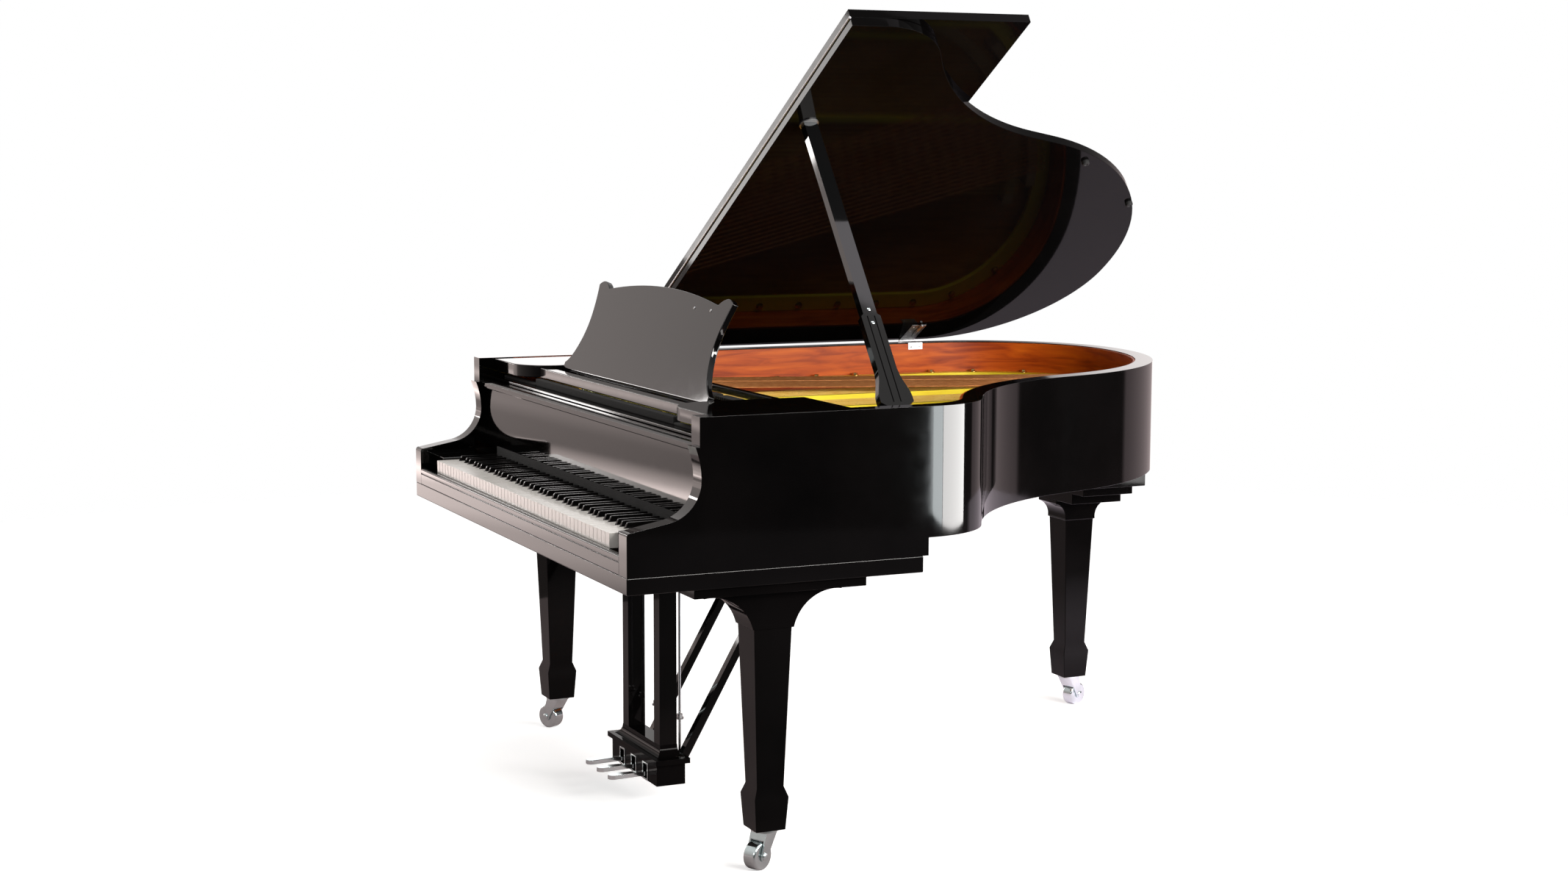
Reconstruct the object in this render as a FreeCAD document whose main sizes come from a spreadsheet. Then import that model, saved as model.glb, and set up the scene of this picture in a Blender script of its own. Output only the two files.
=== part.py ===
"""Grand piano, lid propped open and front flap folded back, in millimetres.

The floor is z = 0, the keyboard faces -Y, the bass side is -X and the middle of the case is x = y = 0.
Distances called setbacks are measured from the front of the arms towards the tail.
"""

import FreeCAD
import Part
import Sketcher
import math
import os
import re
import types

from FreeCAD import Placement, Rotation, Vector

SIZES = {
    # Case: plan of the rim, heights and wall
    "case_width": 1500,
    "case_length": 1820,
    "rim_wall": 44,
    "rim_rise": 313,
    "rim_depth": 275,
    "straight_side": 680,
    "treble_corner_radius": 200,
    "treble_turn": 62,
    "waist_radius": 690,
    "bentside_run": 75,
    "bass_corner_radius": 380,
    "deep_side_lead": 8,
    "arm_setback": 156,
    "keybed_height": 617,
    "keybed_thickness": 35,
    "keybed_depth": 660,
    "glue_line": 0.2,
    "seat_gap": 0.3,
    "overrun": 5,
    # Inner rim, beams and soundboard
    "interior_setback": 245,
    "inner_rim_wall": 50,
    "liner_wall": 6,
    "liner_drop": 2,
    "belly_lead": 15,
    "belly_thickness": 40,
    "beam_width": 60,
    "beam_height": 80,
    "beam_pitch": 290,
    "beam_offset": 440,
    "soundboard_drop": 112,
    "soundboard_thickness": 8,
    "rib_width": 24,
    "rib_height": 18,
    "rib_pitch": 120,
    # Iron plate, pin block and bridges
    "plate_drop": 81,
    "plate_thickness": 12,
    "plate_clearance": 2,
    "plate_band": 42,
    "plate_front_depth": 255,
    "strut_width": 14,
    "strut_rise": 15,
    "strut_root": 6,
    "strut_lap": 40,
    "pin_block_thickness": 26,
    "pin_block_depth": 200,
    "bridge_width": 32,
    "bridge_notch": 5,
    "bass_bridge_inset": 100,
    "bass_bridge_start": 40,
    "bass_bridge_end": 84,
    "bass_bridge_width": 28,
    # Strings and tuning pins
    "string_drop": 77,
    "bass_string_drop": 60,
    "agraffe_setback": 475,
    "pin_row_setback": 330,
    "pin_row_pitch": 35,
    "tuning_pin_radius": 2.9,
    "tuning_pin_length": 32,
    "hitch_inset": 80,
    "tenor_hitch_inset": 140,
    "treble_lead": 410,
    "treble_side_gap": 168.4,
    "treble_break": 32,
    "treble_string_radius": 0.5,
    "treble_string_pitch": 2.7,
    "bass_lead": 110,
    "bass_pitch": 13.2,
    "bass_hitch_lead": 500,
    "bass_hitch_pitch": 13.2,
    "bass_string_radius": 2.2,
    "bass_double_radius": 1.4,
    "bass_string_pitch": 3.6,
    # Keyboard and action
    "cheek_width": 89.4,
    "key_gap": 1,
    "shoulder_gap": 2,
    "key_rise": 70,
    "key_height": 32,
    "key_setback": 15,
    "key_length": 385,
    "balance_setback": 255,
    "sharp_setback": 65,
    "sharp_length": 97,
    "sharp_width": 10,
    "sharp_rise": 12,
    "sharp_slope": 6,
    "sharp_taper": 1.2,
    "sharp_shift": 2.5,
    "slip_depth": 12,
    "slip_height": 40,
    "slip_round": 5,
    "slip_band": 13,
    "slip_groove": 2,
    "slip_groove_depth": 2,
    "cheek_clearance": 4,
    "cheek_setback": 32,
    "cheek_depth": 132,
    "cheek_height": 75,
    "front_rail_setback": 40,
    "front_rail_depth": 55,
    "front_rail_height": 26,
    "balance_rail_depth": 40,
    "balance_bead": 8,
    "back_rail_setback": 370,
    "back_rail_depth": 40,
    "frame_bar_width": 22,
    "frame_bar_height": 24,
    "action_overhang": 29.7,
    "bracket_thickness": 12,
    "bracket_height": 148,
    "hammer_rail_setback": 395,
    "hammer_rail_depth": 30,
    "hammer_rail_height": 20,
    "hammer_gap": 3.9,
    "hammer_shank": 6,
    "hammer_reach": 106,
    "hammer_head_depth": 18,
    "hammer_head_drop": 10,
    "hammer_head_rise": 50,
    "damper_setback": 548,
    "damper_width": 8,
    "damper_depth": 34,
    "damper_height": 22,
    # Fallboard and rail behind it
    "fallboard_setback": 172,
    "fallboard_thickness": 18,
    "fallboard_axis_rise": 100,
    "fallboard_height": 156,
    "fallboard_foot": 7,
    "fallboard_clearance": 0.6,
    "moulding_height": 20,
    "moulding_nose": 12,
    "fallboard_pin_radius": 4,
    "fallboard_pin_length": 12,
    "running_gap": 0.05,
    "stretcher_setback": 196,
    "stretcher_depth": 42,
    "stretcher_drop": 50,
    "stretcher_height": 115,
    # Music shelf, sliding tray and folding desk
    "shelf_setback": 195,
    "shelf_depth": 325,
    "shelf_inner": 460,
    "shelf_corner_radius": 90,
    "shelf_drop": 2,
    "shelf_thickness": 30,
    "shelf_ledge": 15,
    "shelf_ledge_height": 12,
    "shelf_ledge_setback": 290,
    "tray_setback": 235,
    "tray_depth": 283,
    "tray_clearance": 0.4,
    "tray_lip_depth": 27,
    "tray_lip_height": 24,
    "tray_runner": 36,
    "desk_rail_setback": 285,
    "desk_rail_depth": 26,
    "ratchet_setback": 392,
    "ratchet_depth": 26,
    "ratchet_height": 6,
    "tray_back_depth": 20,
    "desk_axis_setback": 300,
    "desk_axis_drop": 9,
    "desk_height": 236,
    "desk_half_width": 457,
    "desk_thickness": 14,
    "desk_lean": 21.4,
    "strut_pivot_height": 75,
    "strut_pivot_depth": 11,
    "desk_strut_length": 104.5,
    "desk_strut_width": 60,
    "desk_strut_thickness": 6,
    "desk_strut_angle": 118.7,
    # Lid, flap and their hinges
    "lid_gap": 3,
    "lid_thickness": 20,
    "lid_angle": 31.3,
    "fold_lead": 85,
    "fold_gap": 1,
    "fold_barrel_radius": 3,
    "flap_setback": 156,
    "hinge_standoff": 4.5,
    "hinge_axis_rise": 1.5,
    "hinge_knuckle_radius": 4,
    "hinge_knuckle": 16,
    "hinge_pin_radius": 2,
    "hinge_width": 44,
    "hinge_leaf": 1.1,
    "hinge_leaf_reach": 92,
    "hinge_drop": 18,
    "hinge_setback": 750,
    "hinge_lead": 40,
    "cup_reach": 1119,
    "cup_radius": 22,
    "cup_thickness": 3,
    # Prop and its bracket
    "prop_side_inset": 95,
    "prop_setback": 650,
    "prop_drop": 30,
    "prop_thickness": 20,
    "prop_hub_radius": 12,
    "prop_hub_length": 30,
    "prop_pin_radius": 4,
    "prop_pin_length": 52,
    "prop_foot_width": 78,
    "prop_foot_height": 30,
    "prop_neck_width": 46,
    "prop_neck_height": 112,
    "prop_joint_height": 245,
    "prop_groove": 2.6,
    "prop_groove_spacing": 17,
    "prop_upper_width": 33,
    "prop_fold_heading": 130.2,
    "bracket_ear_start": 18,
    "bracket_ear": 9,
    "bracket_ear_radius": 11,
    "bracket_post_radius": 4,
    "bracket_base_length": 76,
    "bracket_base_width": 66,
    "bracket_base_height": 4,
    # Legs and casters
    "front_leg_inset": 95,
    "front_leg_setback": 340,
    "tail_leg_inset": 415,
    "tail_leg_lead": 135,
    "leg_plate_thickness": 20,
    "leg_plate_width": 170,
    "leg_plate_depth": 385,
    "corbel_height": 82,
    "corbel_reach": 155,
    "tail_corbel_reach": 75,
    "corbel_lip": 9,
    "leg_top_width": 92,
    "shaft_top_width": 85,
    "leg_foot_width": 61,
    "foot_top_height": 177,
    "foot_shoulder_height": 155,
    "foot_shoulder_width": 77,
    "foot_bottom_width": 67,
    "caster_height": 84,
    "tail_drop": 27,
    "tail_step": 28,
    "tail_step_inset": 110,
    "tail_step_width": 470,
    "tail_step_depth": 156,
    "wheel_radius": 30,
    "wheel_width": 32,
    "wheel_round": 5,
    "wheel_side_gap": 1,
    "caster_trail": 24,
    "caster_cheek": 4,
    "caster_crown_gap": 3,
    "caster_boss_radius": 11,
    "caster_plate_radius": 29,
    "caster_plate": 5,
    "caster_neck_radius": 19,
    "axle_radius": 5,
    "stem_radius": 6,
    "stem_length": 25,
    "caster_turn_treble": 298,
    "caster_turn_bass": 208,
    "caster_turn_tail": 110,
    # Pedal lyre
    "lyre_box_width": 288,
    "lyre_box_setback": 300,
    "lyre_box_depth": 70,
    "lyre_box_bottom": 47,
    "lyre_box_height": 51,
    "cornice_overhang": 14,
    "cornice_height": 12,
    "cove_height": 25,
    "cove_inset": 24,
    "post_spacing": 200,
    "post_width": 36,
    "post_depth": 42,
    "post_setback": 318,
    "lyre_head_width": 300,
    "lyre_head_depth": 110,
    "lyre_head_height": 27,
    "pedal_spacing": 74,
    "pedal_slot_width": 26,
    "pedal_slot_height": 34,
    "pedal_axis_height": 63,
    "pedal_axis_setback": 325,
    "pedal_thickness": 10,
    "pedal_lever_width": 14,
    "pedal_tail_setback": 394,
    "pedal_neck_setback": 285,
    "pedal_tip_setback": 208,
    "pedal_tip_radius": 13,
    "pedal_pin_radius": 3,
    "pedal_pin_grip": 6,
    "rod_setback": 385,
    "rod_radius": 3,
    "rod_guide_gap": 0.6,
    "rod_top_drop": 12,
    "escutcheon_margin": 3.5,
    "escutcheon_thickness": 2,
    "brace_width": 22,
    "brace_foot_height": 38,
    "brace_head_depth": 20,
}

# Arm front in profile, as shares of the arm setback and of the rise from keybed to rim top
ARM_NOSE_SHARES = (0.0, 0.262), (0.015, 0.28), (0.06, 0.287)
ARM_SLOPE_SHARES = (0.06, 0.287), (0.59, 0.335)
ARM_COVE_SHARES = (0.59, 0.335), (0.90, 0.427), (1.024, 0.596)
ARM_BROW_SHARES = (1.024, 0.596), (1.003, 0.703), (0.942, 0.808)

# Right half of the desk outline, as shares of its half width and height
DESK_SIDE_SHARES = (1.0, 0.06), (0.962, 0.1), (0.896, 0.25), (0.856, 0.46), (0.862, 0.7), (0.9, 0.93)
DESK_HORN_SHARES = (0.9, 0.93), (0.88, 0.952), (0.735, 0.9)

# Flare of the prop's foot up to its neck, as shares of the height and of the width between them
PROP_FLARE_SHARES = (0.0, 1.0), (0.15, 0.93), (0.35, 0.66), (0.55, 0.36), (0.75, 0.14), (1.0, 0.0)

# Outline of the hammer head, as shares of its depth and height
HAMMER_SHARES = (0.3, 0.0), (0.7, 0.0), (0.95, 0.55), (0.9, 0.85), (0.5, 1.0), (0.1, 0.85), (0.05, 0.55)

# Slots of the keyboard: 52 white keys from the lowest A, and the side each black key leans to
NATURALS = "abcdefg"
SHARP_LEANS = {"a": 1, "c": -1, "d": 1, "f": -1, "g": 0}
WHITE_KEYS = 52
TREBLE_NOTES = 68
TREBLE_SECTIONS = 4
TENOR_SECTIONS = 2
TREBLE_STRINGS = 3
BASS_SINGLES = 8
BASS_DOUBLES = 12
DAMPED_TREBLE_NOTES = 46
BRIDGE_INSET_SHARE = 0.75
BRACKET_SPREAD_SHARE = 1.8
HINGES = 2
BEAMS = 3
TAIL_STEPS = 3
COVE_FACETS = 8
QUARTER = math.pi / 2
BISECTIONS = 60
X_AXIS = Vector(1, 0, 0)
Y_AXIS = Vector(0, 1, 0)
Z_AXIS = Vector(0, 0, 1)

doc = FreeCAD.newDocument("grand_piano")
sheet = doc.addObject("Spreadsheet::Sheet", "sizes")
for row, (alias, value) in enumerate(SIZES.items(), start=1):
    sheet.set(f"A{row}", alias)
    sheet.set(f"B{row}", str(value))
    sheet.setAlias(f"B{row}", alias)
doc.recompute()
size = types.SimpleNamespace(**{alias: float(sheet.get(alias)) for alias in SIZES})

half_width = size.case_width / 2
front = -size.case_length / 2
back = size.case_length / 2
keybed_top = size.keybed_height + size.keybed_thickness
rim_top = keybed_top + size.rim_rise
rim_bottom = rim_top - size.rim_depth
inside_half = half_width - size.rim_wall
interior_front = front + size.interior_setback
plate_top = rim_top - size.plate_drop
plate_bottom = plate_top - size.plate_thickness
soundboard_top = rim_top - size.soundboard_drop
soundboard_bottom = soundboard_top - size.soundboard_thickness
shelf_level = soundboard_bottom - size.glue_line
belly_front = front + size.straight_side - size.belly_lead
nodes = {}

PROPERTIES = {
    "length": "Length",
    "width": "Width",
    "height": "Height",
    "radius": "Radius",
    "x": "Placement.Base.x",
    "y": "Placement.Base.y",
    "z": "Placement.Base.z",
}


def bound(formula):
    """The formula with each size read from the sheet."""
    return re.sub(r"[a-z][a-z_]+", r"sizes.\g<0>", formula)


def bind(obj, formulas):
    for name, formula in formulas.items():
        obj.setExpression(PROPERTIES[name], bound(formula))
    return obj


def box(name, **formulas):
    """Box whose sides and lower corner follow the sheet."""
    return bind(doc.addObject("Part::Box", name), formulas)


def cylinder(name, axis, **formulas):
    """Cylinder along an axis whose radius, height and base follow the sheet."""
    obj = doc.addObject("Part::Cylinder", name)
    obj.Placement = Placement(Vector(), Rotation(Z_AXIS, axis))
    return bind(obj, formulas)


def solid(name, shape):
    obj = doc.addObject("Part::Feature", name)
    obj.Shape = shape
    return obj


def cut(name, base, tool):
    obj = doc.addObject("Part::Cut", name)
    obj.Base = base
    obj.Tool = tool
    return obj


def fuse(name, members):
    obj = doc.addObject("Part::MultiFuse", name)
    obj.Shapes = members
    return obj


def group(name, members):
    obj = doc.addObject("Part::Compound", name)
    obj.Links = members
    return obj


def node(obj):
    """Register an object as one piece of the piano, under its own label."""
    nodes[obj.Label] = obj
    return obj


def line(start, end):
    return Part.makeLine(start, end)


def arc(start, middle, end):
    return Part.Arc(start, middle, end).toShape()


def polygon(points):
    return Part.Face(Part.makePolygon([*points, points[0]]))


def block(x_low, x_high, y_low, y_high, z_low, z_high):
    return Part.makeBox(x_high - x_low, y_high - y_low, z_high - z_low, Vector(x_low, y_low, z_low))


def rod(radius, start, end):
    return Part.makeCylinder(radius, (end - start).Length, start, end - start)


def heading(angle):
    return Vector(math.cos(angle), math.sin(angle), 0)


def swept(centre, radius, start, end):
    """Arc round a centre in plan, from one heading to another."""
    return arc(*(centre + heading(angle) * radius for angle in (start, (start + end) / 2, end)))


# Plan of the rim: straight treble side, treble corner, hollow waist, bentside run, tail and bass corner
turn = math.radians(size.treble_turn)
corner_centre = Vector(half_width - size.treble_corner_radius, front + size.straight_side, 0)
waist_centre = corner_centre + heading(turn) * (size.treble_corner_radius + size.waist_radius)
bass_centre = Vector(-half_width + size.bass_corner_radius, back - size.bass_corner_radius, 0)


def bentside(angle):
    """End of the bentside run at a heading, and the radius of the tail arc that follows it."""
    end = waist_centre - heading(angle) * size.waist_radius + heading(angle + QUARTER) * size.bentside_run
    return end, (end.x - bass_centre.x) / math.cos(angle)


low, high = 0, turn
for _ in range(BISECTIONS):
    bend = (low + high) / 2
    run_end, tail_radius = bentside(bend)
    if run_end.y + tail_radius * (1 - math.sin(bend)) > back:
        low = bend
    else:
        high = bend
tail_centre = run_end - heading(bend) * tail_radius


def plan(inset, start):
    """Face inside the rim line, moved in by an inset and open to a straight front edge."""
    side = half_width - inset
    corner_radius = size.treble_corner_radius - inset
    waist_radius = size.waist_radius + inset
    waist_end = waist_centre - heading(bend) * waist_radius
    tail_start = tail_centre + heading(bend) * (tail_radius - inset)
    bass_end = Vector(-side, bass_centre.y, 0)
    front_right = Vector(side, start, 0)
    front_left = Vector(-side, start, 0)
    edges = [
        line(front_right, Vector(side, corner_centre.y, 0)),
        swept(corner_centre, corner_radius, 0, turn),
        swept(waist_centre, waist_radius, turn + math.pi, bend + math.pi),
        line(waist_end, tail_start),
        swept(tail_centre, tail_radius - inset, bend, QUARTER),
        swept(bass_centre, size.bass_corner_radius - inset, QUARTER, math.pi),
        line(bass_end, front_left),
        line(front_left, front_right),
    ]
    return Part.Face(Part.Wire(edges))


def slab(inset, start, bottom, top):
    """Plate of the rim's plan between two heights."""
    face = plan(inset, start)
    face.translate(Z_AXIS * bottom)
    return face.extrude(Z_AXIS * (top - bottom))


def rim_reach(x, inset):
    """Distance back to the rim line, moved in by an inset, at one x."""
    corner_radius = size.treble_corner_radius - inset
    waist_radius = size.waist_radius + inset
    waist_end = waist_centre - heading(bend) * waist_radius
    tail_start = tail_centre + heading(bend) * (tail_radius - inset)
    if x > (corner_centre + heading(turn) * corner_radius).x:
        return corner_centre.y + math.sqrt(corner_radius**2 - (x - corner_centre.x) ** 2)
    if x > waist_end.x:
        return waist_centre.y - math.sqrt(waist_radius**2 - (waist_centre.x - x) ** 2)
    if x > tail_start.x:
        return waist_end.y + (waist_end.x - x) / math.tan(bend)
    return tail_centre.y + math.sqrt((tail_radius - inset) ** 2 - (x - tail_centre.x) ** 2)


# Outer rim with its deep sides and carved arms
def arm_points(shares):
    return [
        Vector(
            -half_width - size.overrun,
            front + along * size.arm_setback,
            keybed_top + up * size.rim_rise,
        )
        for along, up in shares
    ]


nose = arm_points(ARM_NOSE_SHARES)
slope = arm_points(ARM_SLOPE_SHARES)
cove = arm_points(ARM_COVE_SHARES)
brow = arm_points(ARM_BROW_SHARES)
ledge = Vector(brow[-1].x, front + size.arm_setback, brow[-1].z)
above = Vector(ledge.x, ledge.y, rim_top + size.overrun)
ahead = Vector(ledge.x, front - size.overrun, above.z)
below = Vector(ledge.x, ahead.y, nose[0].z)
arm_edges = [
    arc(*nose),
    line(*slope),
    arc(*cove),
    arc(*brow),
    line(brow[-1], ledge),
    line(ledge, above),
    line(above, ahead),
    line(ahead, below),
    line(below, nose[0]),
]
arm_cutter = Part.Face(Part.Wire(arm_edges)).extrude(X_AXIS * (size.case_width + 2 * size.overrun))
deep_end = front + size.straight_side - size.deep_side_lead
rim_shape = slab(0, front, rim_bottom, rim_top)
deep_sides = block(-half_width, half_width, front, deep_end, keybed_top, rim_bottom + size.overrun)
rim_shape = rim_shape.fuse(deep_sides)
rim_hollow = slab(size.rim_wall, front - size.overrun, keybed_top - size.overrun, rim_top + size.overrun)
rim_shape = rim_shape.cut([rim_hollow, arm_cutter])
fallboard_axis = Vector(
    0,
    front + size.fallboard_setback + size.fallboard_thickness / 2,
    keybed_top + size.fallboard_axis_rise,
)
for side in (-1, 1):
    inner_end = fallboard_axis + X_AXIS * (side * (inside_half - size.overrun))
    outer_end = fallboard_axis + X_AXIS * (side * (inside_half + size.fallboard_pin_length + size.seat_gap))
    rim_shape = rim_shape.cut(rod(size.fallboard_pin_radius + size.running_gap, inner_end, outer_end))
node(solid("outer_rim", rim_shape.removeSplitter()))

# Inner rim with the veneered liner that stands above it
liner_top = rim_top - size.liner_drop
beam_inset = size.rim_wall + size.inner_rim_wall + size.glue_line
inner_rim = slab(size.rim_wall + size.glue_line, interior_front, rim_bottom, liner_top)
core = slab(size.rim_wall + size.inner_rim_wall, front, rim_bottom - size.overrun, liner_top)
well = slab(size.rim_wall + size.liner_wall, front, shelf_level, liner_top + size.overrun)
node(solid("inner_rim", inner_rim.cut([core, well])))

# Keybed, key slip and cheek blocks
node(
    box(
        "keybed",
        length="case_width",
        width="keybed_depth",
        height="keybed_thickness - glue_line",
        x="-case_width / 2",
        y="-case_length / 2",
        z="keybed_height",
    )
)
slip_left = -inside_half + size.seat_gap
slip_back = front + size.slip_depth
slip_bottom = keybed_top + size.glue_line
slip_top = keybed_top + size.slip_height
slip_turn = size.slip_round * (1 - math.cos(QUARTER / 2))
groove_top = slip_top - size.slip_band
groove_bottom = groove_top - size.slip_groove
groove_floor = front + size.slip_groove_depth
slip_face = [
    Vector(slip_left, slip_back, slip_bottom),
    Vector(slip_left, front, slip_bottom),
    Vector(slip_left, front, groove_bottom),
    Vector(slip_left, groove_floor, groove_bottom),
    Vector(slip_left, groove_floor, groove_top),
    Vector(slip_left, front, groove_top),
    Vector(slip_left, front, slip_top - size.slip_round),
]
slip_edges = [line(start, end) for start, end in zip(slip_face, slip_face[1:])]
slip_edges += [
    arc(
        Vector(slip_left, front, slip_top - size.slip_round),
        Vector(slip_left, front + slip_turn, slip_top - slip_turn),
        Vector(slip_left, front + size.slip_round, slip_top),
    ),
    line(Vector(slip_left, front + size.slip_round, slip_top), Vector(slip_left, slip_back, slip_top)),
    line(Vector(slip_left, slip_back, slip_top), Vector(slip_left, slip_back, slip_bottom)),
]
slip_profile = solid("key_slip_profile", Part.Face(Part.Wire(slip_edges)))
key_slip = doc.addObject("Part::Extrusion", "key_slip")
key_slip.Base = slip_profile
key_slip.DirMode = "Custom"
key_slip.Dir = X_AXIS
key_slip.setExpression("LengthFwd", bound("case_width - 2 * rim_wall - 2 * seat_gap"))
node(key_slip)

keyboard_half = inside_half - size.seat_gap - size.cheek_width - size.cheek_clearance
key_pitch = 2 * keyboard_half / WHITE_KEYS
cheeks = []
for name, side in (("bass_cheek", -1), ("treble_cheek", 1)):
    near = side * (keyboard_half + size.cheek_clearance)
    far = side * (inside_half - size.seat_gap)
    cheek_bottom = keybed_top + size.glue_line
    cheek_top = keybed_top + size.cheek_height
    cheek_front = front + size.cheek_setback
    cheek_back = cheek_front + size.cheek_depth
    cheek = block(min(near, far), max(near, far), cheek_front, cheek_back, cheek_bottom, cheek_top)
    cheeks.append(solid(name, cheek))
node(group("cheek_blocks", cheeks))

# Stretcher rail across the front of the strings, and the pin block behind it
node(
    box(
        "stretcher_rail",
        length="case_width - 2 * rim_wall - 2 * seat_gap",
        width="stretcher_depth",
        height="stretcher_height",
        x="-case_width / 2 + rim_wall + seat_gap",
        y="-case_length / 2 + stretcher_setback",
        z="keybed_height + keybed_thickness + rim_rise - stretcher_drop - stretcher_height",
    )
)
node(
    box(
        "pin_block",
        length="case_width - 2 * rim_wall - 2 * liner_wall - 2 * seat_gap",
        width="pin_block_depth",
        height="pin_block_thickness",
        x="-case_width / 2 + rim_wall + liner_wall + seat_gap",
        y="-case_length / 2 + interior_setback",
        z="keybed_height + keybed_thickness + rim_rise - plate_drop - plate_thickness - glue_line"
        " - pin_block_thickness",
    )
)

# Belly rail and the beams that run from it to the tail
room = slab(beam_inset, front, keybed_top - size.overrun, rim_top)
belly_back = belly_front + size.belly_thickness
belly = block(-half_width, half_width, belly_front, belly_back, keybed_top, shelf_level)
beams = [solid("belly_rail", belly.common(room))]
for number in range(BEAMS):
    middle = number * size.beam_pitch - size.beam_offset
    beam = block(
        middle - size.beam_width / 2,
        middle + size.beam_width / 2,
        belly_back + size.glue_line,
        back,
        rim_bottom + size.overrun,
        rim_bottom + size.overrun + size.beam_height,
    )
    beams.append(solid(f"case_beam_{number}", beam.common(room)))
node(group("case_beams", beams))

# Soundboard, and the ribs glued under it
board_inset = size.rim_wall + size.liner_wall + size.glue_line
boards = [solid("board", slab(board_inset, belly_front, soundboard_bottom, soundboard_top))]
rib_top = soundboard_bottom - size.glue_line
rib_front = belly_back + size.rib_pitch
while rib_front < back - size.inner_rim_wall - size.rib_pitch:
    rib_back = rib_front + size.rib_width
    rib = block(-half_width, half_width, rib_front, rib_back, rib_top - size.rib_height, rib_top)
    boards.append(solid("rib", rib.common(room)))
    rib_front += size.rib_pitch
node(group("soundboard", boards))

# Notes of the scale: string centres at the agraffes and at the hitch, from the bass up
string_height = rim_top - size.string_drop
bass_height = rim_top - size.bass_string_drop
agraffe_line = front + size.agraffe_setback
treble_left = -half_width + size.treble_lead
treble_right = half_width - size.treble_side_gap
treble_breaks = (TREBLE_SECTIONS - 1) * size.treble_break
treble_pitch = (treble_right - treble_left - treble_breaks) / (TREBLE_NOTES - TREBLE_SECTIONS)
notes = []
for number in range(BASS_SINGLES + BASS_DOUBLES):
    count = 1 if number < BASS_SINGLES else 2
    radius = size.bass_string_radius if count == 1 else size.bass_double_radius
    start = -half_width + size.bass_lead + number * size.bass_pitch
    hitch = -half_width + size.bass_hitch_lead + number * size.bass_hitch_pitch
    rear = rim_reach(hitch, size.hitch_inset)
    notes.append((start, hitch, rear, count, radius, size.bass_string_pitch, bass_height))
for number in range(TREBLE_NOTES):
    section = number * TREBLE_SECTIONS // TREBLE_NOTES
    start = treble_left + number * treble_pitch + section * (size.treble_break - treble_pitch)
    rear = rim_reach(start, size.tenor_hitch_inset if section < TENOR_SECTIONS else size.hitch_inset)
    unison = (TREBLE_STRINGS, size.treble_string_radius, size.treble_string_pitch)
    notes.append((start, start, rear, *unison, string_height))


def string_point(note, y):
    """Centre of a note's strings where they cross one distance from the front."""
    start, hitch, rear, count, radius, pitch, height = note
    share = (y - agraffe_line) / (rear - agraffe_line)
    return Vector(start + (hitch - start) * share + pitch * (count - 1) / 2, y, height)


bass_strings = []
treble_strings = []
tuning_pins = []
for note in notes:
    start, hitch, rear, count, radius, pitch, height = note
    for number in range(count):
        offset = X_AXIS * (pitch * (number - (count - 1) / 2))
        head = string_point(note, front + size.pin_row_setback + number * size.pin_row_pitch) + offset
        tail = string_point(note, rear) + offset
        along = (tail - head).normalize()
        wire = rod(radius, head, tail)
        (bass_strings if height == bass_height else treble_strings).append(wire)
        aside = Vector(along.y, -along.x, 0) * (radius + size.tuning_pin_radius + size.glue_line)
        pin_foot = Vector(head.x + aside.x, head.y + aside.y, plate_top + size.glue_line)
        tuning_pins.append(rod(size.tuning_pin_radius, pin_foot, pin_foot + Z_AXIS * size.tuning_pin_length))
node(solid("bass_strings", Part.makeCompound(bass_strings)))
node(solid("treble_strings", Part.makeCompound(treble_strings)))
node(solid("tuning_pins", Part.makeCompound(tuning_pins)))

# Iron plate: hitch band round the rim, web over the pin block, and struts between the string sections
plate_inset = size.rim_wall + size.liner_wall + size.plate_clearance
opening_inset = plate_inset + size.plate_band
opening_front = interior_front + size.plate_front_depth
plate_shape = slab(plate_inset, interior_front, plate_bottom, plate_top)
opening = slab(opening_inset, opening_front, plate_bottom - size.overrun, plate_top + size.overrun)
plate_shape = plate_shape.cut(opening)
strut_notches = []
treble_section = TREBLE_NOTES // TREBLE_SECTIONS
for section in range(1, TREBLE_SECTIONS):
    below_note = notes[BASS_SINGLES + BASS_DOUBLES + section * treble_section - 1]
    above_note = notes[BASS_SINGLES + BASS_DOUBLES + section * treble_section]
    spread = size.treble_string_pitch * (TREBLE_STRINGS - 1)
    middle = (below_note[0] + spread + above_note[0]) / 2
    strut_left = middle - size.strut_width / 2
    strut_right = middle + size.strut_width / 2
    strut_back = rim_reach(middle, opening_inset) + size.strut_lap
    strut_bottom = plate_top - size.strut_root
    strut = block(
        strut_left,
        strut_right,
        opening_front - size.strut_lap,
        strut_back,
        strut_bottom,
        plate_top + size.strut_rise,
    )
    plate_shape = plate_shape.fuse(strut)
    strut_notches.append(
        block(
            strut_left - size.bridge_notch,
            strut_right + size.bridge_notch,
            belly_front,
            back,
            strut_bottom - size.bridge_notch,
            rim_top,
        )
    )
node(solid("iron_plate", plate_shape.removeSplitter()))

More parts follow.
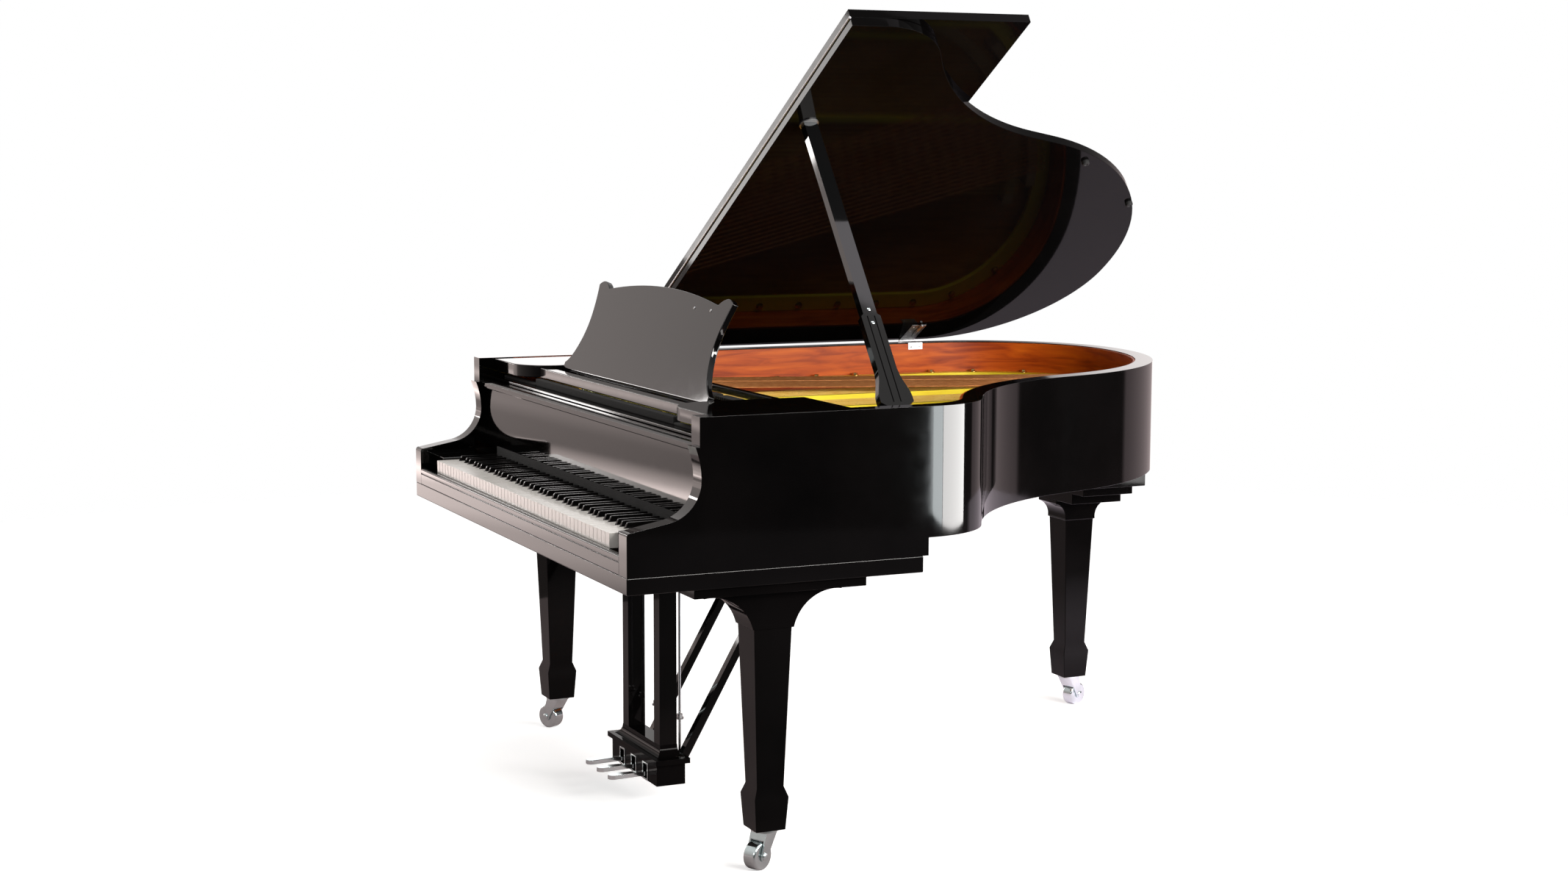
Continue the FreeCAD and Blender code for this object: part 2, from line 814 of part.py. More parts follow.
# Bridges: the long one follows the rim, the bass one the tail
bridge_foot = soundboard_top + size.glue_line
bridge_inset = BRIDGE_INSET_SHARE * size.treble_corner_radius
bridge_top = string_height - size.treble_string_radius - size.seat_gap
long_bridge = slab(bridge_inset, front, bridge_foot, bridge_top)
long_bridge = long_bridge.cut(slab(bridge_inset + size.bridge_width, front, bridge_foot, bridge_top))
bridge_span = block(
    treble_left - size.bridge_width,
    half_width,
    corner_centre.y,
    back,
    soundboard_bottom,
    rim_top,
)
long_bridge = long_bridge.common(bridge_span).cut(strut_notches)
bass_outer = tail_radius - size.bass_bridge_inset
bass_inner = bass_outer - size.bass_bridge_width
bass_start = math.radians(size.bass_bridge_start)
bass_end = math.radians(size.bass_bridge_end)
bass_edges = [
    swept(tail_centre, bass_outer, bass_start, bass_end),
    line(tail_centre + heading(bass_end) * bass_outer, tail_centre + heading(bass_end) * bass_inner),
    swept(tail_centre, bass_inner, bass_end, bass_start),
    line(tail_centre + heading(bass_start) * bass_inner, tail_centre + heading(bass_start) * bass_outer),
]
bass_face = Part.Face(Part.Wire(bass_edges))
bass_face.translate(Z_AXIS * bridge_foot)
bass_bridge_top = bass_height - size.bass_string_radius - size.seat_gap
bass_bridge = bass_face.extrude(Z_AXIS * (bass_bridge_top - bridge_foot)).cut(strut_notches)
node(group("bridges", [solid("long_bridge", long_bridge), solid("bass_bridge", bass_bridge)]))

# Keys: each note name is one node with its keys in every octave, turning on the balance rail
key_top = keybed_top + size.key_rise
key_bottom = key_top - size.key_height
key_front = front + size.key_setback
key_back = key_front + size.key_length
sharp_front = front + size.sharp_setback
sharp_back = sharp_front + size.sharp_length
sharp_half = size.sharp_width / 2
white_names = [NATURALS[number % len(NATURALS)] for number in range(WHITE_KEYS)]
sharps = {}
for number, name in enumerate(white_names[:-1]):
    if name in SHARP_LEANS:
        boundary = -keyboard_half + (number + 1) * key_pitch
        sharps[number] = boundary + SHARP_LEANS[name] * size.sharp_shift
keys = {name: [] for name in NATURALS}
keys.update({f"{name}_sharp": [] for name in SHARP_LEANS})
for number, name in enumerate(white_names):
    left = -keyboard_half + number * key_pitch + size.key_gap / 2
    right = left + key_pitch - size.key_gap
    tail_left = left
    tail_right = right
    if number - 1 in sharps:
        tail_left = max(left, sharps[number - 1] + sharp_half + size.key_gap)
    if number in sharps:
        tail_right = min(right, sharps[number] - sharp_half - size.key_gap)
    shoulder = sharp_front - size.shoulder_gap
    outline = [
        Vector(left, key_front, key_bottom),
        Vector(right, key_front, key_bottom),
        Vector(right, shoulder, key_bottom),
        Vector(tail_right, shoulder, key_bottom),
        Vector(tail_right, key_back, key_bottom),
        Vector(tail_left, key_back, key_bottom),
        Vector(tail_left, shoulder, key_bottom),
        Vector(left, shoulder, key_bottom),
    ]
    outline = [point for place, point in enumerate(outline) if (point - outline[place - 1]).Length > 0]
    keys[name].append(polygon(outline).extrude(Z_AXIS * size.key_height))
for number, middle in sharps.items():
    body = block(middle - sharp_half, middle + sharp_half, sharp_front, key_back, key_bottom, key_top)
    foot_wire = Part.makePolygon(
        [
            Vector(middle - sharp_half, sharp_front, key_top),
            Vector(middle + sharp_half, sharp_front, key_top),
            Vector(middle + sharp_half, sharp_back, key_top),
            Vector(middle - sharp_half, sharp_back, key_top),
            Vector(middle - sharp_half, sharp_front, key_top),
        ]
    )
    crest_half = sharp_half - size.sharp_taper
    crest_top = key_top + size.sharp_rise
    crest_front = sharp_front + size.sharp_slope
    crest_wire = Part.makePolygon(
        [
            Vector(middle - crest_half, crest_front, crest_top),
            Vector(middle + crest_half, crest_front, crest_top),
            Vector(middle + crest_half, sharp_back, crest_top),
            Vector(middle - crest_half, sharp_back, crest_top),
            Vector(middle - crest_half, crest_front, crest_top),
        ]
    )
    crest = Part.makeLoft([foot_wire, crest_wire], True, True)
    keys[f"{white_names[number]}_sharp"].append(body.fuse(crest))
for name, shapes in keys.items():
    node(solid(f"keys_{name}", Part.makeCompound(shapes)))

# Key frame that carries the keys, with the brackets and rail of the action at its back
frame_bottom = keybed_top + size.glue_line
balance_line = front + size.balance_setback
rail_half = keyboard_half
bead_top = key_bottom - size.seat_gap
back_rail_front = front + size.back_rail_setback
back_rail_back = back_rail_front + size.back_rail_depth
front_rail_front = front + size.front_rail_setback
front_rail_top = frame_bottom + size.front_rail_height
balance_half = size.balance_rail_depth / 2
bead_half = size.balance_bead / 2
action_half = keyboard_half + size.action_overhang
front_rail_back = front_rail_front + size.front_rail_depth
frame_shape = block(-rail_half, rail_half, front_rail_front, front_rail_back, frame_bottom, front_rail_top)
frame_shape = frame_shape.fuse(
    [
        block(
            -rail_half,
            rail_half,
            balance_line - balance_half,
            balance_line + balance_half,
            frame_bottom,
            bead_top - size.balance_bead / 2,
        ),
        block(
            -rail_half,
            rail_half,
            balance_line - bead_half,
            balance_line + bead_half,
            frame_bottom,
            bead_top,
        ),
        block(-action_half, action_half, back_rail_front, back_rail_back, frame_bottom, bead_top),
    ]
)
hammer_rail_front = front + size.hammer_rail_setback
hammer_rail_back = hammer_rail_front + size.hammer_rail_depth
hammer_rail_top = frame_bottom + size.bracket_height
for side in (-1, 1):
    bar_left = min(side * rail_half, side * (rail_half - size.frame_bar_width))
    bar = block(
        bar_left,
        bar_left + size.frame_bar_width,
        front_rail_front,
        back_rail_back,
        frame_bottom,
        frame_bottom + size.frame_bar_height,
    )
    bracket_left = min(side * action_half, side * (action_half - size.bracket_thickness))
    bracket = block(
        bracket_left,
        bracket_left + size.bracket_thickness,
        back_rail_front,
        hammer_rail_back,
        frame_bottom,
        hammer_rail_top,
    )
    frame_shape = frame_shape.fuse([bar, bracket])
hammer_rail = block(
    -action_half,
    action_half,
    hammer_rail_front,
    hammer_rail_back,
    hammer_rail_top - size.hammer_rail_height,
    hammer_rail_top,
)
node(solid("key_frame", frame_shape.fuse(hammer_rail).removeSplitter()))

# Hammers, one to a note, on the action rail under the strings
hammers = []
hammer_width = treble_pitch - size.hammer_gap
shank_start = hammer_rail_back + size.glue_line
head_start = shank_start + size.hammer_reach - size.hammer_head_depth / 2
shank_bottom = hammer_rail_top - size.hammer_rail_height / 2 - size.hammer_shank / 2
head_bottom = shank_bottom - size.hammer_head_drop
head_height = size.hammer_head_drop + size.hammer_head_rise
for note in notes:
    middle = string_point(note, front + size.agraffe_setback + size.hammer_head_depth).x
    left = middle - hammer_width / 2
    shank = block(
        left,
        left + hammer_width,
        shank_start,
        head_start + size.hammer_head_depth / 2,
        shank_bottom,
        shank_bottom + size.hammer_shank,
    )
    outline = [
        Vector(left, head_start + along * size.hammer_head_depth, head_bottom + up * head_height)
        for along, up in HAMMER_SHARES
    ]
    head = polygon(outline).extrude(X_AXIS * hammer_width)
    hammers.append(shank.fuse(head).removeSplitter())
node(solid("hammers", Part.makeCompound(hammers)))

# Dampers, resting on the strings of the notes that have them
dampers = []
damper_front = front + size.damper_setback
for note in notes[: BASS_SINGLES + BASS_DOUBLES + DAMPED_TREBLE_NOTES]:
    centre = string_point(note, damper_front + size.damper_depth / 2)
    radius, pitch, height = note[-3:]
    damper_bottom = height + radius + size.seat_gap
    dampers.append(
        block(
            centre.x - size.damper_width / 2,
            centre.x + size.damper_width / 2,
            damper_front,
            damper_front + size.damper_depth,
            damper_bottom,
            damper_bottom + size.damper_height,
        )
    )
node(solid("dampers", Part.makeCompound(dampers)))

# Fallboard with its moulded top edge and the pins it turns on
fallboard_half = inside_half - size.fallboard_clearance
face_front = front + size.fallboard_setback
face_back = face_front + size.fallboard_thickness
fallboard_bottom = fallboard_axis.z - size.fallboard_foot
fallboard_top = fallboard_axis.z + size.fallboard_height
nose_front = face_front - size.moulding_nose
moulding_bottom = fallboard_top - size.moulding_height
step = size.moulding_nose / 3
fallboard_panel = block(
    -fallboard_half, fallboard_half, face_front, face_back, fallboard_bottom, fallboard_top
)
for side in (-1, 1):
    pin_start = fallboard_axis + X_AXIS * (side * (fallboard_half - size.overrun))
    pin_end = fallboard_axis + X_AXIS * (side * (inside_half + size.fallboard_pin_length))
    fallboard_panel = fallboard_panel.fuse(rod(size.fallboard_pin_radius, pin_start, pin_end))
moulding_back = face_front - size.glue_line
moulding_outline = [
    Vector(-fallboard_half, moulding_back, fallboard_top),
    Vector(-fallboard_half, nose_front + step, fallboard_top),
    Vector(-fallboard_half, nose_front, fallboard_top - step),
    Vector(-fallboard_half, nose_front, moulding_bottom + 2 * step),
    Vector(-fallboard_half, nose_front + step, moulding_bottom + 2 * step),
    Vector(-fallboard_half, nose_front + step, moulding_bottom + step),
    Vector(-fallboard_half, nose_front + 2 * step, moulding_bottom + step),
    Vector(-fallboard_half, moulding_back, moulding_bottom),
]
moulding = polygon(moulding_outline).extrude(X_AXIS * (2 * fallboard_half))
node(group("fallboard", [solid("fallboard_panel", fallboard_panel), solid("fallboard_moulding", moulding)]))

# Fixed sides of the music shelf, each with the ledge that the tray slides on
shelf_top = rim_top - size.shelf_drop
shelf_bottom = shelf_top - size.shelf_thickness
shelf_front = front + size.shelf_setback
shelf_back = shelf_front + size.shelf_depth
shelf_outer = inside_half - size.liner_wall - size.seat_gap
shelf_sides = []
for name, side in (("bass_shelf_side", -1), ("treble_shelf_side", 1)):
    inner = side * size.shelf_inner
    outer = side * shelf_outer
    rounding = size.shelf_corner_radius
    sag = rounding * (1 - math.cos(QUARTER / 2))
    curve_start = Vector(inner, shelf_front + rounding, shelf_bottom)
    curve_middle = Vector(inner + side * sag, shelf_front + sag, shelf_bottom)
    curve_end = Vector(inner + side * rounding, shelf_front, shelf_bottom)
    corners = [
        Vector(outer, shelf_front, shelf_bottom),
        Vector(outer, shelf_back, shelf_bottom),
        Vector(inner, shelf_back, shelf_bottom),
    ]
    edges = [
        arc(curve_start, curve_middle, curve_end),
        line(curve_end, corners[0]),
        line(corners[0], corners[1]),
        line(corners[1], corners[2]),
        line(corners[2], curve_start),
    ]
    board = Part.Face(Part.Wire(edges)).extrude(Z_AXIS * size.shelf_thickness)
    ledge_inner = side * (size.shelf_inner - size.shelf_ledge)
    ledge_outer = side * (size.shelf_inner + size.shelf_ledge)
    ledge_block = block(
        min(ledge_inner, ledge_outer),
        max(ledge_inner, ledge_outer),
        front + size.shelf_ledge_setback,
        shelf_back,
        shelf_bottom - size.glue_line - size.shelf_ledge_height,
        shelf_bottom - size.glue_line,
    )
    shelf_sides.append(solid(name, board))
    shelf_sides.append(solid(f"{name}_ledge", ledge_block))
node(group("shelf_sides", shelf_sides))

# Tray: an open frame with a front lip, the rail of the desk hinge, a ratchet bar and a back bar
tray_half = size.shelf_inner - size.tray_clearance
tray_front = front + size.tray_setback
tray_back = tray_front + size.tray_depth
tray_bottom = shelf_bottom + size.seat_gap
desk_axis = Vector(0, front + size.desk_axis_setback, rim_top - size.desk_axis_drop)
tray_top = desk_axis.z - size.desk_thickness / 2 - size.seat_gap
desk_rail_front = front + size.desk_rail_setback
ratchet_front = front + size.ratchet_setback
lip_back = tray_front + size.tray_lip_depth
lip_top = tray_bottom + size.tray_lip_height
tray_shape = block(-tray_half, tray_half, tray_front, lip_back, tray_bottom, lip_top)
tray_shape = tray_shape.fuse(
    [
        block(-tray_half, -tray_half + size.tray_runner, tray_front, tray_back, tray_bottom, tray_top),
        block(tray_half - size.tray_runner, tray_half, tray_front, tray_back, tray_bottom, tray_top),
        block(
            -tray_half,
            tray_half,
            desk_rail_front,
            desk_rail_front + size.desk_rail_depth,
            tray_bottom,
            tray_top,
        ),
        block(
            -tray_half,
            tray_half,
            ratchet_front,
            ratchet_front + size.ratchet_depth,
            tray_bottom,
            tray_bottom + size.ratchet_height,
        ),
        block(-tray_half, tray_half, tray_back - size.tray_back_depth, tray_back, tray_bottom, tray_top),
    ]
)
node(solid("music_tray", tray_shape.removeSplitter()))

# Desk: a shaped panel with a round foot, drawn upright on its hinge line and then leaned back


def desk_points(shares, side):
    half_thickness = size.desk_thickness / 2
    half = side * size.desk_half_width
    return [Vector(along * half, -half_thickness, up * size.desk_height) for along, up in shares]


def smooth(points):
    curve = Part.BSplineCurve()
    curve.interpolate(points)
    return curve.toShape()


desk_edges = []
for side in (1, -1):
    side_points = desk_points(DESK_SIDE_SHARES, side)
    horn_points = desk_points(DESK_HORN_SHARES, side)
    foot_point = Vector(side * size.desk_half_width, side_points[0].y, 0)
    desk_edges += [line(foot_point, side_points[0]), smooth(side_points), smooth(horn_points)]
arch_ends = [desk_points(DESK_HORN_SHARES, side)[-1] for side in (1, -1)]
arch_crown = Vector(0, arch_ends[0].y, size.desk_height)
desk_edges.append(arc(arch_ends[0], arch_crown, arch_ends[1]))
foot_right = Vector(size.desk_half_width, arch_crown.y, 0)
foot_left = Vector(-size.desk_half_width, arch_crown.y, 0)
desk_edges.append(line(foot_left, foot_right))
desk_wire = Part.Wire(Part.__sortEdges__(desk_edges))
desk_panel = Part.Face(desk_wire).extrude(Y_AXIS * size.desk_thickness)
desk_foot = rod(size.desk_thickness / 2, -X_AXIS * size.desk_half_width, X_AXIS * size.desk_half_width)
music_desk = solid("music_desk", desk_panel.fuse(desk_foot))
music_desk.Placement = Placement(desk_axis, Rotation(X_AXIS, -size.desk_lean))
node(music_desk)

# Strut behind the desk, hinged to its back and standing on the ratchet bar
lean = Rotation(X_AXIS, -size.desk_lean)
strut_pivot = desk_axis + lean.multVec(Vector(0, size.strut_pivot_depth, size.strut_pivot_height))
strut_round = size.desk_strut_thickness / 2
desk_strut = doc.addObject("Part::Box", "desk_strut")
desk_strut.setExpression("Length", bound("desk_strut_width"))
desk_strut.setExpression("Width", bound("desk_strut_thickness"))
desk_strut.setExpression("Height", bound("desk_strut_length"))
strut_turn = Rotation(X_AXIS, -size.desk_lean - size.desk_strut_angle)
strut_corner = Vector(-size.desk_strut_width / 2, -strut_round, 0)
desk_strut.Placement = Placement(strut_pivot + strut_turn.multVec(strut_corner), strut_turn)
node(desk_strut)

# Lid, flap and hinges, drawn closed and then raised together about the hinge line
lid_bottom = rim_top + size.lid_gap
lid_top = lid_bottom + size.lid_thickness
fold_line = front + size.straight_side - size.fold_lead
hinge_line = Vector(-half_width - size.hinge_standoff, 0, rim_top + size.hinge_axis_rise)
lid_pose = Placement(Vector(), Rotation(-Y_AXIS, size.lid_angle), hinge_line)
fold_axis = Vector(0, fold_line, lid_top + size.fold_gap / 2)
fold_groove = rod(
    size.fold_barrel_radius + size.seat_gap,
    fold_axis - X_AXIS * (half_width + size.overrun),
    fold_axis + X_AXIS * (half_width + size.overrun),
)
main_lid = solid("main_lid", slab(0, fold_line + size.fold_gap / 2, lid_bottom, lid_top).cut(fold_groove))
main_lid.Placement = lid_pose
node(main_lid)

flap_front = front + size.flap_setback
flap_board = block(-half_width, half_width, flap_front, fold_line - size.fold_gap / 2, lid_bottom, lid_top)
lid_flap = solid("lid_flap", flap_board.cut(fold_groove))
flap_pose = Placement(Vector(), Rotation(-X_AXIS, math.degrees(math.pi)), fold_axis)
lid_flap.Placement = lid_pose.multiply(flap_pose)
node(lid_flap)

lower_hinges = []
lid_fittings = []
leaf_edge = hinge_line.x + size.hinge_knuckle_radius + size.seat_gap
lower_leaf_top = rim_top + size.glue_line + size.hinge_leaf
upper_leaf_top = lid_bottom - size.glue_line
upper_leaf_bottom = upper_leaf_top - size.hinge_leaf
liner_face = -inside_half + size.liner_wall
first_hinge = front + size.hinge_setback
hinge_pitch = (bass_centre.y - size.hinge_lead - first_hinge) / (HINGES - 1)
for number in range(HINGES):
    middle = first_hinge + number * hinge_pitch
    start = middle - size.hinge_width / 2
    end = middle + size.hinge_width / 2
    lower_end = liner_face + size.glue_line + size.hinge_leaf
    lower = block(leaf_edge, lower_end, start, end, rim_top + size.glue_line, lower_leaf_top)
    drop = block(
        liner_face + size.glue_line, lower_end, start, end, rim_top - size.hinge_drop, lower_leaf_top
    )
    lower = lower.fuse(drop)
    bore = rod(
        size.hinge_pin_radius + size.running_gap,
        Vector(hinge_line.x, start - size.overrun, hinge_line.z),
        Vector(hinge_line.x, end + size.overrun, hinge_line.z),
    )
    for knuckle_start in (start, end - size.hinge_knuckle):
        knuckle_end = knuckle_start + size.hinge_knuckle
        knuckle = rod(
            size.hinge_knuckle_radius,
            Vector(hinge_line.x, knuckle_start, hinge_line.z),
            Vector(hinge_line.x, knuckle_end, hinge_line.z),
        )
        tongue = block(
            hinge_line.x,
            leaf_edge,
            knuckle_start,
            knuckle_end,
            rim_top + size.glue_line,
            lower_leaf_top,
        )
        lower = lower.fuse([knuckle, tongue])
    lower_hinges.append(solid("lower_hinge", lower.cut(bore)))
    inner_start = start + size.hinge_knuckle + size.seat_gap
    inner_end = end - size.hinge_knuckle - size.seat_gap
    upper = rod(
        size.hinge_knuckle_radius,
        Vector(hinge_line.x, inner_start, hinge_line.z),
        Vector(hinge_line.x, inner_end, hinge_line.z),
    )
    pin = rod(
        size.hinge_pin_radius,
        Vector(hinge_line.x, start, hinge_line.z),
        Vector(hinge_line.x, end, hinge_line.z),
    )
    leaf_end = hinge_line.x + size.hinge_leaf_reach
    leaf = block(leaf_edge, leaf_end, start, end, upper_leaf_bottom, upper_leaf_top)
    tongue = block(hinge_line.x, leaf_edge, inner_start, inner_end, upper_leaf_bottom, upper_leaf_top)
    lid_fittings.append(upper.fuse([pin, leaf, tongue]))
node(group("lid_hinge_lower", lower_hinges))

cup_x = hinge_line.x + size.cup_reach
prop_y = front + size.prop_setback
cup_top = Vector(cup_x, prop_y, lid_bottom - size.glue_line)
cup_bottom = cup_top - Z_AXIS * size.cup_thickness
lid_fittings.append(rod(size.cup_radius, cup_bottom, cup_top))
lid_fittings.append(
    rod(
        size.fold_barrel_radius,
        fold_axis - X_AXIS * half_width,
        fold_axis + X_AXIS * half_width,
    )
)
lid_hardware = solid("lid_hardware", Part.makeCompound(lid_fittings))
lid_hardware.Placement = lid_pose
node(lid_hardware)

# Prop: drawn upright on its pivot with its broad face towards the lid, then leaned to the cup
prop_pivot = Vector(half_width - size.prop_side_inset, prop_y, rim_top - size.prop_drop)
prop_tip = lid_pose.multVec(cup_bottom - Z_AXIS * size.seat_gap)
prop_rise = prop_tip - prop_pivot
prop_length = prop_rise.Length
prop_lean = math.atan2(-prop_rise.x, prop_rise.z)
prop_turn = Rotation(Y_AXIS, -math.degrees(prop_lean))
half_thick = size.prop_thickness / 2
hub_half = size.prop_hub_radius
flare_bottom = size.prop_foot_height + size.prop_hub_radius
flare_height = size.prop_neck_height - flare_bottom
flare_half = (size.prop_foot_width - size.prop_neck_width) / 2
flare = [
    (flare_bottom + up * flare_height, size.prop_neck_width / 2 + out * flare_half)
    for up, out in PROP_FLARE_SHARES
]
stick_half_widths = [
    (0, hub_half),
    (size.prop_hub_radius, hub_half),
    (size.prop_foot_height, size.prop_foot_width / 2),
    *flare,
    (size.prop_joint_height, size.prop_neck_width / 2),
    (size.prop_joint_height + size.overrun, size.prop_upper_width / 2),
    (prop_length + size.prop_thickness, size.prop_upper_width / 2),
]
right_side = [Vector(-half_thick, half, up) for up, half in stick_half_widths]
left_side = [Vector(-half_thick, -half, up) for up, half in reversed(stick_half_widths)]
stick = polygon(right_side + left_side).extrude(X_AXIS * size.prop_thickness)
groove_half = size.prop_groove / 2
for side in (-1, 1):
    middle = side * size.prop_groove_spacing / 2
    groove = block(
        half_thick - size.prop_groove,
        half_thick + size.overrun,
        middle - groove_half,
        middle + groove_half,
        size.prop_foot_height,
        size.prop_joint_height,
    )
    stick = stick.cut(groove)
stick.Placement = Placement(prop_pivot, prop_turn)
lid_face = block(
    -half_width, half_width, front, back, cup_bottom.z - size.seat_gap, rim_top + size.case_length
)
lid_face.Placement = lid_pose
stick = stick.cut(lid_face)
fold_heading = heading(math.radians(size.prop_fold_heading))
prop_axis = prop_rise.cross(fold_heading).normalize()
hub = rod(size.prop_hub_radius, prop_pivot - prop_axis * (size.prop_hub_length / 2),
          prop_pivot + prop_axis * (size.prop_hub_length / 2))
prop_pin = rod(size.prop_pin_radius, prop_pivot - prop_axis * (size.prop_pin_length / 2),
               prop_pivot + prop_axis * (size.prop_pin_length / 2))
node(solid("lid_prop", stick.fuse([hub, prop_pin])))

# Bracket of the prop: two ears on posts over a base screwed to the plate
base_bottom = plate_top + size.glue_line
base_top = base_bottom + size.bracket_base_height
bracket_shape = block(
    prop_pivot.x - size.bracket_base_length / 2,
    prop_pivot.x + size.bracket_base_length / 2,
    prop_pivot.y - size.bracket_base_width / 2,
    prop_pivot.y + size.bracket_base_width / 2,
    base_bottom,
    base_top,
)
for side in (-1, 1):
    ear_start = prop_pivot + prop_axis * (side * size.bracket_ear_start)
    ear_end = ear_start + prop_axis * (side * size.bracket_ear)
    ear_middle = (ear_start + ear_end) / 2
    spread = (ear_middle - prop_pivot) * BRACKET_SPREAD_SHARE
    base_middle = base_bottom + size.bracket_base_height / 2
    post_foot = Vector(prop_pivot.x + spread.x, prop_pivot.y + spread.y, base_middle)
    post = rod(size.bracket_post_radius, post_foot, ear_middle)
    bracket_shape = bracket_shape.fuse([rod(size.bracket_ear_radius, ear_start, ear_end), post])
bracket_bore = rod(
    size.prop_pin_radius + size.running_gap,
    prop_pivot - prop_axis * size.prop_pin_length,
    prop_pivot + prop_axis * size.prop_pin_length,
)
node(solid("prop_bracket", bracket_shape.cut(bracket_bore)))

# Legs: tapered square shafts on flared feet, with a corbel under each leg plate
treble_leg_x = "case_width / 2 - front_leg_inset"
bass_leg_x = "front_leg_inset - case_width / 2"
tail_leg_x = "tail_leg_inset - case_width / 2"
front_leg_y = "front_leg_setback - case_length / 2"
tail_leg_y = "case_length / 2 - tail_leg_lead"
front_leg_side = half_width - size.front_leg_inset
tail_place = Vector(size.tail_leg_inset - half_width, back - size.tail_leg_lead, 0)
leg_places = {
    "treble": (treble_leg_x, front_leg_y, Vector(front_leg_side, front + size.front_leg_setback, 0)),
    "bass": (bass_leg_x, front_leg_y, Vector(-front_leg_side, front + size.front_leg_setback, 0)),
    "tail": (tail_leg_x, tail_leg_y, tail_place),
}
leg_reaches = {"treble": size.corbel_reach, "bass": size.corbel_reach, "tail": size.tail_corbel_reach}
leg_drops = {"treble": 0, "bass": 0, "tail": size.tail_drop}
caster_turns = {
    "treble": size.caster_turn_treble,
    "bass": size.caster_turn_bass,
    "tail": size.caster_turn_tail,
}
LEG_SECTIONS = (
    ("shaft_top_width", "keybed_height - leg_plate_thickness - corbel_height"),
    ("leg_foot_width", "foot_top_height"),
    ("foot_shoulder_width", "foot_shoulder_height"),
    ("foot_bottom_width", "caster_height"),
)


def square_section(body, name, width, height):
    """Square sketch centred on the leg's axis, at a height from the sheet."""
    sketch = body.newObject("Sketcher::SketchObject", name)
    sketch.AttachmentSupport = [(body.Origin.OriginFeatures[3], "")]
    sketch.MapMode = "FlatFace"
    sketch.setExpression("AttachmentOffset.Base.z", bound(height))
    half = getattr(size, width) / 2
    corners = [Vector(-half, -half), Vector(half, -half), Vector(half, half), Vector(-half, half)]
    for number, corner in enumerate(corners):
        sketch.addGeometry(Part.LineSegment(corner, corners[(number + 1) % len(corners)]))
    for number in range(len(corners)):
        following = (number + 1) % len(corners)
        sketch.addConstraint(Sketcher.Constraint("Coincident", number, 2, following, 1))
    for number in range(len(corners)):
        direction = "Horizontal" if number % 2 == 0 else "Vertical"
        sketch.addConstraint(Sketcher.Constraint(direction, number))
    sketch.addConstraint(Sketcher.Constraint("Symmetric", 0, 1, 1, 2, -1, 1))
    across = sketch.addConstraint(Sketcher.Constraint("DistanceX", 0, 1, 0, 2, 2 * half))
    along = sketch.addConstraint(Sketcher.Constraint("DistanceY", 1, 1, 1, 2, 2 * half))
    for number in (across, along):
        sketch.setExpression(f"Constraints[{number}]", bound(width))
    return sketch


def tapered(body, name, sections):
    loft = body.newObject("PartDesign::AdditiveLoft", name)
    loft.Profile = sections[0]
    loft.Sections = sections[1:]
    loft.Ruled = True
    return loft


